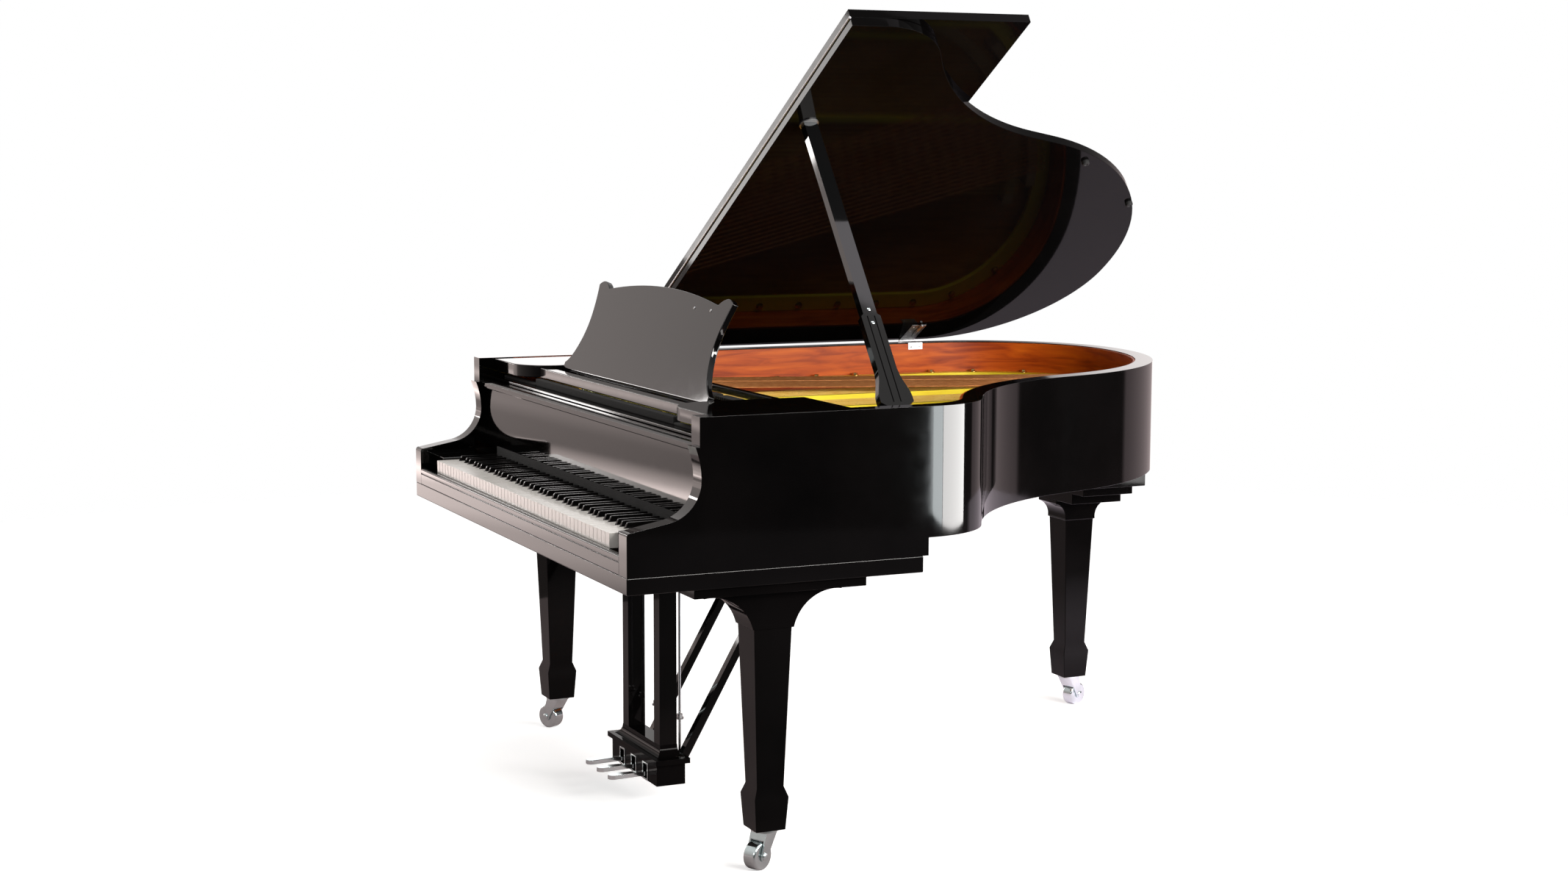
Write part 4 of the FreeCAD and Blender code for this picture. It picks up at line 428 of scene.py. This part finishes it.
def piece(name, mesh, material, body):
    """Finish a mesh as a piece of the object that rides on a body."""
    bmesh.ops.remove_doubles(mesh, verts=mesh.verts, dist=DOUBLE)
    bmesh.ops.recalc_face_normals(mesh, faces=mesh.faces)
    data = bpy.data.meshes.new(name)
    mesh.to_mesh(data)
    mesh.free()
    data.materials.append(material)
    data.polygons.foreach_set("use_smooth", [True] * len(data.polygons))
    data.set_sharp_from_angle(angle=SHARP_ANGLE)
    obj = bpy.data.objects.new(name, data)
    scene.collection.objects.link(obj)
    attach(obj, body)


UP = Vector((0, 0, 1))
STAND_OFF = 0.1
GLUE_LINE = 0.0002
PLATE_NEAR = 0.001
FELT_ROUNDING = 0.0012
rim_low, rim_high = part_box("outer_rim")
wire_low, wire_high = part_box("treble_strings")
plate_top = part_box("tuning_pins")[0][2] - GLUE_LINE


def plate_foot(x, y):
    """Point on the flat top of the plate, or None beside it and on its struts."""
    foot = touch("iron_plate", (x, y, plate_top + STAND_OFF), -UP)
    if foot and abs(foot.z - plate_top) < PLATE_NEAR:
        return foot
    return None


# Strings as (front end, hitch end, radius), from the bass up
strings = {"bass_strings": [], "treble_strings": []}
for name, found in strings.items():
    for points in islands(name):
        low, high = extent(points)
        halfway = (low.y + high.y) / 2
        head = middle([point for point in points if point.y < halfway])
        tail = middle([point for point in points if point.y > halfway])
        found.append((head, tail, min((point - head).length for point in points)))
    found.sort(key=lambda string: string[0].x)


def along(string, y):
    """Point of a string at one distance from the front."""
    head, tail, _ = string
    return head.lerp(tail, (y - head.y) / (tail.y - head.y))


# Wire coils on the tuning pins, and the pins that hold the far ends
PIN_RADIUS = 0.0029
COIL_TURNS = 3
HITCH_RISE = 0.0055
HITCH_PROFILE = [(0.0019, 0), (0.0019, 0.7), (0.0024, 0.8), (0.0017, 0.94), (0, 1)]
pins = [middle(points) for points in islands("tuning_pins")]
coils = bmesh.new()
hitches = bmesh.new()
for head, tail, radius in strings["bass_strings"] + strings["treble_strings"]:
    pin = min(pins, key=lambda place: (place.xy - head.xy).length)
    for turn in range(COIL_TURNS):
        centre = (pin.x, pin.y, head.z + 2 * turn * radius)
        ring(coils, centre, UP, PIN_RADIUS + radius, radius, 10, 4)
    foot = plate_foot(tail.x, tail.y)
    if foot:
        height = tail.z + HITCH_RISE - plate_top
        lathe(hitches, foot, UP, [(wide, up * height) for wide, up in HITCH_PROFILE], 8)
piece("pin_coils", coils, painted_gold_steel, "case")
piece("hitch_pins", hitches, chrome, "case")

# Brass agraffes that the bass and tenor strings pass through
AGRAFFE_SETBACK = 0.475
AGRAFFE_MARGIN = 0.0016
AGRAFFE_FOOT = 0.0022
AGRAFFE_SINK = 0.0020
AGRAFFE_HALF_DEPTH = 0.0028
AGRAFFE_RISE = 0.0062
AGRAFFE_ROUNDING = 0.0011
TENOR_NOTES = 34
UNISON = 3
agraffe_line = rim_low[1] + AGRAFFE_SETBACK
agraffes = bmesh.new()
trebles = strings["treble_strings"]
unisons = [trebles[first:first + UNISON] for first in range(0, len(trebles), UNISON)]
for group in unisons[:TENOR_NOTES] + [[string] for string in strings["bass_strings"]]:
    crossings = [along(string, agraffe_line) for string in group]
    low, high = extent(crossings)
    centre = (low + high) / 2
    half = (high.x - low.x) / 2 + AGRAFFE_MARGIN
    foot_profile = [(0, 0), (half, 0), (half, AGRAFFE_FOOT), (0, AGRAFFE_FOOT)]
    lathe(agraffes, (centre.x, agraffe_line, plate_top), UP, foot_profile, 6)
    pad(
        agraffes,
        (centre.x - half, agraffe_line - AGRAFFE_HALF_DEPTH, plate_top + AGRAFFE_SINK),
        (centre.x + half, agraffe_line + AGRAFFE_HALF_DEPTH, centre.z + AGRAFFE_RISE),
        AGRAFFE_ROUNDING,
    )
piece("agraffes", agraffes, brass, "case")

# Bar across the two upper sections of the strings
CAPO_OVERHANG = 0.009
CAPO_HALF_DEPTH = 0.009
CAPO_GAP = 0.0003
CAPO_HEIGHT = 0.0277
CAPO_ROUNDING = 0.006
capo_bottom = wire_high[2] + CAPO_GAP
capo = bmesh.new()
section = (len(unisons) - TENOR_NOTES) // 2
for first in (TENOR_NOTES, TENOR_NOTES + section):
    left = unisons[first][0][0].x - CAPO_OVERHANG
    right = unisons[first + section - 1][-1][0].x + CAPO_OVERHANG
    pad(
        capo,
        (left, agraffe_line - CAPO_HALF_DEPTH, capo_bottom),
        (right, agraffe_line + CAPO_HALF_DEPTH, capo_bottom + CAPO_HEIGHT),
        CAPO_ROUNDING,
    )
piece("capo_bars", capo, gold, "case")

# Felt under the plain strings, between the pins and the agraffes
UNDERFELT_FRONT = -0.494
UNDERFELT_BACK = -0.458
UNDERFELT_LIFT = 0.0001
UNDERFELT_GAP = 0.0003
UNDERFELT_OVERHANG = 0.012
under = bmesh.new()
pad(
    under,
    (trebles[0][0].x - UNDERFELT_OVERHANG, UNDERFELT_FRONT, plate_top + UNDERFELT_LIFT),
    (trebles[-1][0].x + UNDERFELT_OVERHANG, UNDERFELT_BACK, wire_low[2] - UNDERFELT_GAP),
    FELT_ROUNDING,
)
piece("understring_felt", under, red_felt, "case")

# Felts on the stretcher: a tall one under the tray, a low one under each fixed side of the shelf
STRIP_FRONT_INSET = 0.024
STRIP_BACK_INSET = 0.0015
STRIP_SINK = 0.0001
TALL_STRIP_HALF = 0.452
TALL_STRIP_GAP = 0.0005
TALL_STRIP_ROUNDING = 0.003
LOW_STRIP_INNER = 0.4525
LOW_STRIP_END = 0.0007
LOW_STRIP_GAP = 0.0003
LOW_STRIP_ROUNDING = 0.002
rail_low, rail_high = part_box("stretcher_rail")
shelf_low, shelf_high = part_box("shelf_sides")
tall_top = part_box("music_tray")[0][2] - TALL_STRIP_GAP
low_top = shelf_low[2] - LOW_STRIP_GAP
low_outer = shelf_high[0] - LOW_STRIP_END
strip_start = (rail_low[1] + STRIP_FRONT_INSET, rail_high[2] - STRIP_SINK)
strip_back = rail_high[1] - STRIP_BACK_INSET
strips = [
    (-TALL_STRIP_HALF, TALL_STRIP_HALF, tall_top, TALL_STRIP_ROUNDING),
    (-low_outer, -LOW_STRIP_INNER, low_top, LOW_STRIP_ROUNDING),
    (LOW_STRIP_INNER, low_outer, low_top, LOW_STRIP_ROUNDING),
]
rail = bmesh.new()
for left, right, top, rounding in strips:
    pad(rail, (left, *strip_start), (right, strip_back, top), rounding)
piece("stretcher_strip", rail, black_felt, "case")

# Felt along the foot of the fallboard
FOOT_FELT_HALF = 0.610
FOOT_FELT_INSET = 0.0094
FOOT_FELT_THICKNESS = 0.0030
FOOT_FELT_DROP = 0.0205
FOOT_FELT_HEIGHT = 0.0257
board_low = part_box("fallboard")[0]
foot_felt_start = Vector((-FOOT_FELT_HALF, board_low[1] + FOOT_FELT_INSET, board_low[2] - FOOT_FELT_DROP))
foot_felt_size = Vector((2 * FOOT_FELT_HALF, FOOT_FELT_THICKNESS, FOOT_FELT_HEIGHT))
board = bmesh.new()
pad(board, foot_felt_start, foot_felt_start + foot_felt_size, FELT_ROUNDING)
piece("nameboard_felt", board, black_felt, "fallboard")

# White felt round the foot of each damper
SKIRT_SIDE = 0.0006
SKIRT_END = 0.0008
SKIRT_LIFT = 0.0003
SKIRT_HEIGHT = 0.0075
SKIRT_ROUNDING = 0.0009
skirts = bmesh.new()
for points in islands("dampers"):
    low, high = extent(points)
    pad(
        skirts,
        (low.x - SKIRT_SIDE, low.y - SKIRT_END, low.z + SKIRT_LIFT),
        (high.x + SKIRT_SIDE, high.y + SKIRT_END, low.z + SKIRT_HEIGHT),
        SKIRT_ROUNDING,
    )
piece("damper_skirts", skirts, white_felt, "dampers")

# Bolts round the plate, each found by feeling inwards for the plate's outer edge
WASHER_PROFILE = [(0.0105, 0), (0.0105, 0.0012), (0.0096, 0.0018), (0.0, 0.0018)]
HEAD_PROFILE = [(0.0072, 0.0016), (0.0072, 0.0058), (0.0061, 0.0070), (0.0022, 0.0076), (0, 0.0077)]
BOLT_ROWS = 9
BOLT_FRONT = -0.17
BOLT_PITCH = 0.117
BOLT_EDGE = 0.0125
FEEL_START = 0.72
FEEL_STEP = 0.004
FEEL_COUNT = 200
bolts = bmesh.new()
reaches = [FEEL_START - FEEL_STEP * step for step in range(FEEL_COUNT)]
for row in range(BOLT_ROWS):
    y = BOLT_FRONT + BOLT_PITCH * row
    for side in (-1, 1):
        edge = next(reach for reach in reaches if plate_foot(side * reach, y))
        place = (side * (edge - BOLT_EDGE), y, plate_top)
        lathe(bolts, place, UP, WASHER_PROFILE, 20)
        lathe(bolts, place, UP, HEAD_PROFILE, 6)
piece("plate_bolts", bolts, brass, "case")

# Studs on the front of the desk, near its top
DESK_LEAN = math.radians(21.4)
STUD_PROFILE = [(0.0034, -0.001), (0.0034, 0.0006), (0.0026, 0.0016), (0.0011, 0.0021), (0, 0.0022)]
STUD_PLACES = [(0.216, -0.5378, 1.1403), (0.309, -0.5378, 1.1403)]
desk_face = Vector((0, math.cos(DESK_LEAN), -math.sin(DESK_LEAN)))
studs = bmesh.new()
for stud in STUD_PLACES:
    place = touch("music_desk", Vector(stud) - STAND_OFF * desk_face, desk_face)
    lathe(studs, place, -desk_face, STUD_PROFILE)
piece("desk_studs", studs, nickel, "desk")

# Underside of the lid, by the distance from its hinge line
LID_ANGLE = math.radians(31.3)
HINGE_STANDOFF = 0.0045
HINGE_RISE = 0.0015
hinge_line = Vector((rim_low[0] - HINGE_STANDOFF, 0, rim_high[2] + HINGE_RISE))
lid_out = Vector((math.cos(LID_ANGLE), 0, math.sin(LID_ANGLE)))
lid_down = Vector((math.sin(LID_ANGLE), 0, -math.cos(LID_ANGLE)))


def under_lid(node, reach, y):
    """Point on the underside of a lid node."""
    return touch(node, hinge_line + reach * lid_out + Vector((0, y, 0)) + STAND_OFF * lid_down, -lid_down)


# Rubber bumpers under the lid
BUMPER_PROFILE = [
    (0.0095, -0.001),
    (0.0095, 0.006),
    (0.0086, 0.0085),
    (0.0050, 0.0098),
    (0.0044, 0.0085),
    (0, 0.0085),
]
BUMPER_PLACES = [(0.956, 0.5527), (0.753, 0.7921)]
bumpers = bmesh.new()
for reach, y in BUMPER_PLACES:
    lathe(bumpers, under_lid("main_lid", reach, y), lid_down, BUMPER_PROFILE, 20)
piece("lid_bumpers", bumpers, black_rubber, "lid")

# Screws and loose pins of the lid hinges
SCREW_PROFILE = [
    (0.0031, -0.0004),
    (0.0031, 0.0003),
    (0.0026, 0.0007),
    (0.0009, 0.0009),
    (0.0008, 0.0005),
    (0, 0.0005),
]
SCREW_ASIDE = 0.013
RIM_SCREW_DROP = 0.0095
LID_SCREW_REACHES = (0.030, 0.055, 0.080)
PIN_REACH = 0.034
PIN_ASIDE = 0.004
PIN_DROP = 0.0038
PIN_BARREL = [(0, 0), (0.0034, 0), (0.0040, 0.001), (0.0040, 0.046), (0.0029, 0.048), (0.0029, 0.056)]
PIN_KNOB = [(0.0044, 0.0575), (0.0056, 0.0605), (0.0053, 0.064), (0.0036, 0.067), (0, 0.068)]
lid_screws = bmesh.new()
rim_screws = bmesh.new()
loose_pins = bmesh.new()
for points in islands("lid_hinge_lower"):
    low, high = extent(points)
    centre = (low.y + high.y) / 2
    for y in (centre - SCREW_ASIDE, centre + SCREW_ASIDE):
        lathe(rim_screws, (high.x, y, rim_high[2] - RIM_SCREW_DROP), (1, 0, 0), SCREW_PROFILE, 14)
        for reach in LID_SCREW_REACHES:
            lathe(lid_screws, under_lid("lid_hardware", reach, y), lid_down, SCREW_PROFILE, 14)
    start = under_lid("lid_hardware", PIN_REACH, centre + PIN_ASIDE) + PIN_DROP * lid_down
    lathe(loose_pins, start, lid_out, PIN_BARREL + PIN_KNOB)
piece("rim_hinge_screws", rim_screws, nickel, "case")
piece("lid_hinge_screws", lid_screws, nickel, "lid")
piece("lid_hinge_pins", loose_pins, nickel, "lid")

# Rivets at the joint of the prop
RIVET_PROFILE = [(0.0042, -0.0004), (0.0042, 0.0004), (0.0034, 0.0013), (0.0014, 0.0018), (0, 0.0018)]
RIVET_REACHES = (0.228, 0.262)
PROP_INSET = 0.095
PROP_SETBACK = 0.650
PROP_DROP = 0.030
prop_foot = Vector((rim_high[0] - PROP_INSET, rim_low[1] + PROP_SETBACK, rim_high[2] - PROP_DROP))
prop_up = Vector((-0.594, 0, 0.804))
prop_face = Vector((0.804, 0, 0.594))
rivets = bmesh.new()
for reach in RIVET_REACHES:
    place = touch("lid_prop", prop_foot + reach * prop_up + STAND_OFF * prop_face, -prop_face)
    lathe(rivets, place, prop_face, RIVET_PROFILE)
piece("prop_rivets", rivets, chrome, "prop")

# Axle heads of the casters; the axle runs along the thinnest direction of a wheel
CAP_PROFILE = [
    (0, 0.0003),
    (0.0080, 0.0003),
    (0.0080, 0.0014),
    (0.0066, 0.0027),
    (0.0030, 0.0034),
    (0, 0.0035),
]
for name in LEGS:
    points = numpy.array([vertex.co for vertex in nodes[f"caster_wheel_{name}"].data.vertices])
    centre = (points.min(0) + points.max(0)) / 2
    axle = numpy.linalg.eigh(numpy.cov((points - centre).T))[1][:, 0]
    reach = ((points - centre) @ axle).max()
    caps = bmesh.new()
    for side in (-1, 1):
        lathe(caps, Vector(centre + side * reach * axle), Vector(side * axle), CAP_PROFILE, 24)
    piece(f"caster_caps_{name}", caps, chrome, f"caster_wheel_{name}")

# Nuts on the pedal rods
NUT_PROFILE = [
    (0.0029, 0),
    (0.0090, 0),
    (0.0094, 0.0008),
    (0.0094, 0.0042),
    (0.0068, 0.0050),
    (0.0068, 0.0120),
    (0.0029, 0.0130),
]
NUT_HEIGHT = 0.182
for name in PEDALS:
    low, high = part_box(f"pedal_rod_{name}")
    nut = bmesh.new()
    lathe(nut, ((low[0] + high[0]) / 2, (low[1] + high[1]) / 2, NUT_HEIGHT), UP, NUT_PROFILE, 20)
    piece(f"rod_nut_{name}", nut, nickel, f"pedal_rod_{name}")


# Stage: a pale floor that keeps the shadow, a studio of soft boxes and a white background
FLOOR_RADIUS = 5.0
FLOOR_SIDES = 96
FLOOR_RUN = 1.2
FLOOR_LIFT = 0.45
FADE_START = 0.45
FADE_END = 1.0
FADE_LEVEL = 0.05
ROOM_STRENGTH = 2.0


def floor_paint():
    """Pale to the camera; to reflections and bounced light, a floor painted with light and shade: paler at
    the tail and painted dark past the treble side.
    """
    finish = Finish("floor", Roughness=0.9)
    place = finish.parts(finish.place)
    # Painted light and shade for reflections: paler towards the tail, and painted shade past the treble side.
    run = finish.ramp(
        finish.spread(place["Y"], -FLOOR_RUN, FLOOR_RUN),
        (0.2, (0.40, 0.32, 0.32)),
        (0.5, (0.34, 0.28, 0.28)),
        (0.8, (0.96, 0.84, 0.95)),
    )
    paint = finish.add("ShaderNodeVectorMath", operation="SCALE")
    finish.link(run, paint.inputs["Vector"])
    painted_shade = finish.spread(place["X"], FADE_START, FADE_END, 1.0, FADE_LEVEL)
    finish.link(painted_shade, paint.inputs["Scale"])
    finish.link(paint.outputs["Vector"], finish.shader.inputs["Base Color"])
    pale = finish.add("ShaderNodeBsdfDiffuse")
    pale.inputs["Color"].default_value = (0.9, 0.9, 0.9, 1)
    lift = finish.add("ShaderNodeEmission")
    lift.inputs["Strength"].default_value = FLOOR_LIFT
    both = finish.add("ShaderNodeAddShader")
    finish.link(pale.outputs["BSDF"], both.inputs[0])
    finish.link(lift.outputs["Emission"], both.inputs[1])
    finish.show(finish.shader.outputs["BSDF"], both.outputs["Shader"], finish.output)
    return finish.material


def disc(name, radius, count):
    mesh = bpy.data.meshes.new(name)
    turns = [2 * math.pi * number / count for number in range(count)]
    mesh.from_pydata([(radius * math.cos(t), radius * math.sin(t), 0) for t in turns], [], [range(count)])
    obj = bpy.data.objects.new(name, mesh)
    scene.collection.objects.link(obj)
    return obj


floor = disc("floor", FLOOR_RADIUS, FLOOR_SIDES)
floor.data.materials.append(floor_paint())
floor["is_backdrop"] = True

# What the walls of the studio show round the piano, by heading in degrees
WALLS = [
    (-180, (0.47, 0.41, 0.39)),
    (-150, (0.49, 0.43, 0.41)),
    (-120, (0.23, 0.20, 0.19)),
    (-60, (0.05, 0.045, 0.045)),
    (-20, (0.006, 0.006, 0.006)),
    (45, (0.006, 0.006, 0.006)),
    (94, (0.010, 0.008, 0.008)),
    (97, (0.17, 0.136, 0.14)),
    (137, (0.28, 0.23, 0.23)),
    (142, (0.70, 0.66, 0.65)),
    (147, (0.70, 0.66, 0.65)),
    (150, (0.04, 0.034, 0.036)),
    (157, (0.04, 0.034, 0.036)),
    (159, (0.95, 0.91, 0.90)),
    (166, (0.95, 0.91, 0.90)),
    (173, (0.47, 0.41, 0.39)),
]
CEILING = (0.31, 0.305, 0.30, 1)
WALL_TOP = 0.02
CEILING_START = 0.55


def studio():
    """White to the camera; to reflections, a dim room that is bright overhead and behind the bass side."""
    world = bpy.data.worlds.new("studio")
    world.use_nodes = True
    scene.world = world
    world.node_tree.nodes.clear()
    graph = Graph(world.node_tree)
    look = graph.parts(graph.add("ShaderNodeTexCoord").outputs["Generated"])
    heading = graph.add("ShaderNodeMath", operation="ARCTAN2")
    graph.link(look["Y"], heading.inputs[0])
    graph.link(look["X"], heading.inputs[1])
    share = graph.spread(heading.outputs["Value"], -math.pi, math.pi)
    walls = graph.ramp(share, *(((angle + 180) / 360, colour) for angle, colour in WALLS))
    upward = graph.add("ShaderNodeMix", data_type="RGBA")
    graph.link(graph.spread(look["Z"], WALL_TOP, CEILING_START), upward.inputs["Factor"])
    graph.link(walls, upward.inputs["A"])
    upward.inputs["B"].default_value = CEILING
    room = graph.add("ShaderNodeBackground")
    room.inputs["Strength"].default_value = ROOM_STRENGTH
    graph.link(upward.outputs["Result"], room.inputs["Color"])
    white = graph.add("ShaderNodeBackground")
    white.inputs["Color"].default_value = (1, 1, 1, 1)
    output = graph.add("ShaderNodeOutputWorld")
    graph.show(room.outputs["Background"], white.outputs["Background"], output)


studio()


def soft_box(name, place, aim, width, height, radiance, colour, roll=0.0):
    """Rectangular lamp whose brightness is given as the radiance that a reflection of it shows."""
    lamp = bpy.data.lights.new(name, "AREA")
    lamp.shape = "RECTANGLE"
    lamp.size = width
    lamp.size_y = height
    lamp.energy = radiance * math.pi * width * height
    lamp.color = colour
    obj = bpy.data.objects.new(name, lamp)
    obj.location = place
    facing = (Vector(aim) - Vector(place)).to_track_quat("-Z", "Y")
    obj.rotation_mode = "QUATERNION"
    obj.rotation_quaternion = facing @ Matrix.Rotation(math.radians(roll), 3, "Z").to_quaternion()
    obj.visible_camera = False
    scene.collection.objects.link(obj)


# Lamps: name, place, aim, width, height, radiance, colour and roll in degrees
soft_box("strip_right", (1.75, 1.60, 0.95), (0.62, -0.12, 0.95), 1.35, 1.15, 14.0, (1.0, 0.985, 0.97))
soft_box("strip_side", (2.58, 1.05, 0.95), (1.45, -0.67, 0.95), 0.6, 1.15, 10.0, (0.92, 0.99, 1.0))
soft_box("right_key", (3.60, 0.60, 1.85), (-0.40, 0.15, 0.92), 1.5, 0.8, 24.0, (1.0, 0.97, 0.93))
soft_box("prop_top", (0.9, 1.2, 4.0), (0.30, -0.20, 1.20), 1.2, 1.0, 1.4, (1.0, 0.93, 1.0))
soft_box("lid_edges", (-4.0, -2.21, 1.51), (0.0, -2.21, 1.51), 0.2, 1.25, 11.5, (1.0, 0.97, 0.95), -35.0)
soft_box("key_fronts", (1.5, -3.0, 1.1), (0.4, -0.9, 0.70), 1.4, 0.4, 6.5, (1.0, 0.985, 0.97))
soft_box("overhead", (-0.15, -0.3, 4.4), (-0.1, -0.2, 0.8), 3.0, 3.4, 1.8, (1.0, 0.99, 0.98))

# Card that the upright fronts mirror: its radiance by level, and where it stands
CARD_LEVELS = [
    (0.18, 0.08),
    (0.28, 1.20),
    (0.34, 1.70),
    (0.38, 1.75),
    (0.42, 2.40),
    (0.48, 2.60),
    (0.52, 5.10),
    (0.55, 2.30),
    (0.60, 0.60),
    (0.66, 0.65),
    (0.70, 0.95),
    (0.76, 0.90),
    (0.78, 2.45),
    (0.80, 1.30),
    (0.95, 1.60),
]
CARD_PEAK = 5.2
CARD_TINT = (1.0, 0.85, 0.81)
CARD_SLOPE = -0.27
CARD_BASE = 0.332
CARD_X = -2.1
CARD_FRONT = -2.35
CARD_BACK = -0.90
CARD_BOTTOM = 0.02
CARD_TOP = 0.92


def front_card():
    """Glowing card on the bass side, with levels that slope along it as the fronts mirror them."""
    finish = Finish("front_card")
    level = finish.add("ShaderNodeVectorMath", operation="DOT_PRODUCT")
    finish.link(finish.place, level.inputs[0])
    level.inputs[1].default_value = (0, CARD_SLOPE, 1)
    share = finish.spread(level.outputs["Value"], CARD_BASE, CARD_BASE + 1)
    stops = [(place, [tint * radiance / CARD_PEAK for tint in CARD_TINT]) for place, radiance in CARD_LEVELS]
    glow = finish.add("ShaderNodeEmission")
    glow.inputs["Strength"].default_value = CARD_PEAK
    finish.link(finish.ramp(share, *stops), glow.inputs["Color"])
    finish.link(glow.outputs["Emission"], finish.output.inputs["Surface"])
    mesh = bpy.data.meshes.new("front_card")
    corners = [
        (CARD_X, CARD_FRONT, CARD_BOTTOM),
        (CARD_X, CARD_BACK, CARD_BOTTOM),
        (CARD_X, CARD_BACK, CARD_TOP),
        (CARD_X, CARD_FRONT, CARD_TOP),
    ]
    mesh.from_pydata(corners, [], [(0, 1, 2, 3)])
    mesh.materials.append(finish.material)
    card = bpy.data.objects.new("front_card", mesh)
    card.visible_camera = False
    card.visible_diffuse = False
    card.visible_shadow = False
    scene.collection.objects.link(card)
    card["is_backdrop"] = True


front_card()

# Camera at the photograph's place
SENSOR = 36.0
LENS = 54.18
eye = Vector((5.0357, -2.535, 1.4888))
bearing = math.radians(65.376)
pitch = math.radians(-7.015)
roll = math.radians(0.151)
ahead = Vector((-math.sin(bearing) * math.cos(pitch), math.cos(bearing) * math.cos(pitch), math.sin(pitch)))
camera_data = bpy.data.cameras.new("camera")
camera_data.sensor_fit = "HORIZONTAL"
camera_data.sensor_width = SENSOR
camera_data.lens = LENS
camera = bpy.data.objects.new("camera", camera_data)
camera.location = eye
camera.rotation_mode = "QUATERNION"
camera.rotation_quaternion = ahead.to_track_quat("-Z", "Y") @ Matrix.Rotation(roll, 3, "Z").to_quaternion()
scene.collection.objects.link(camera)
scene.camera = camera
scene.view_settings.view_transform = "Standard"

low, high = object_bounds()
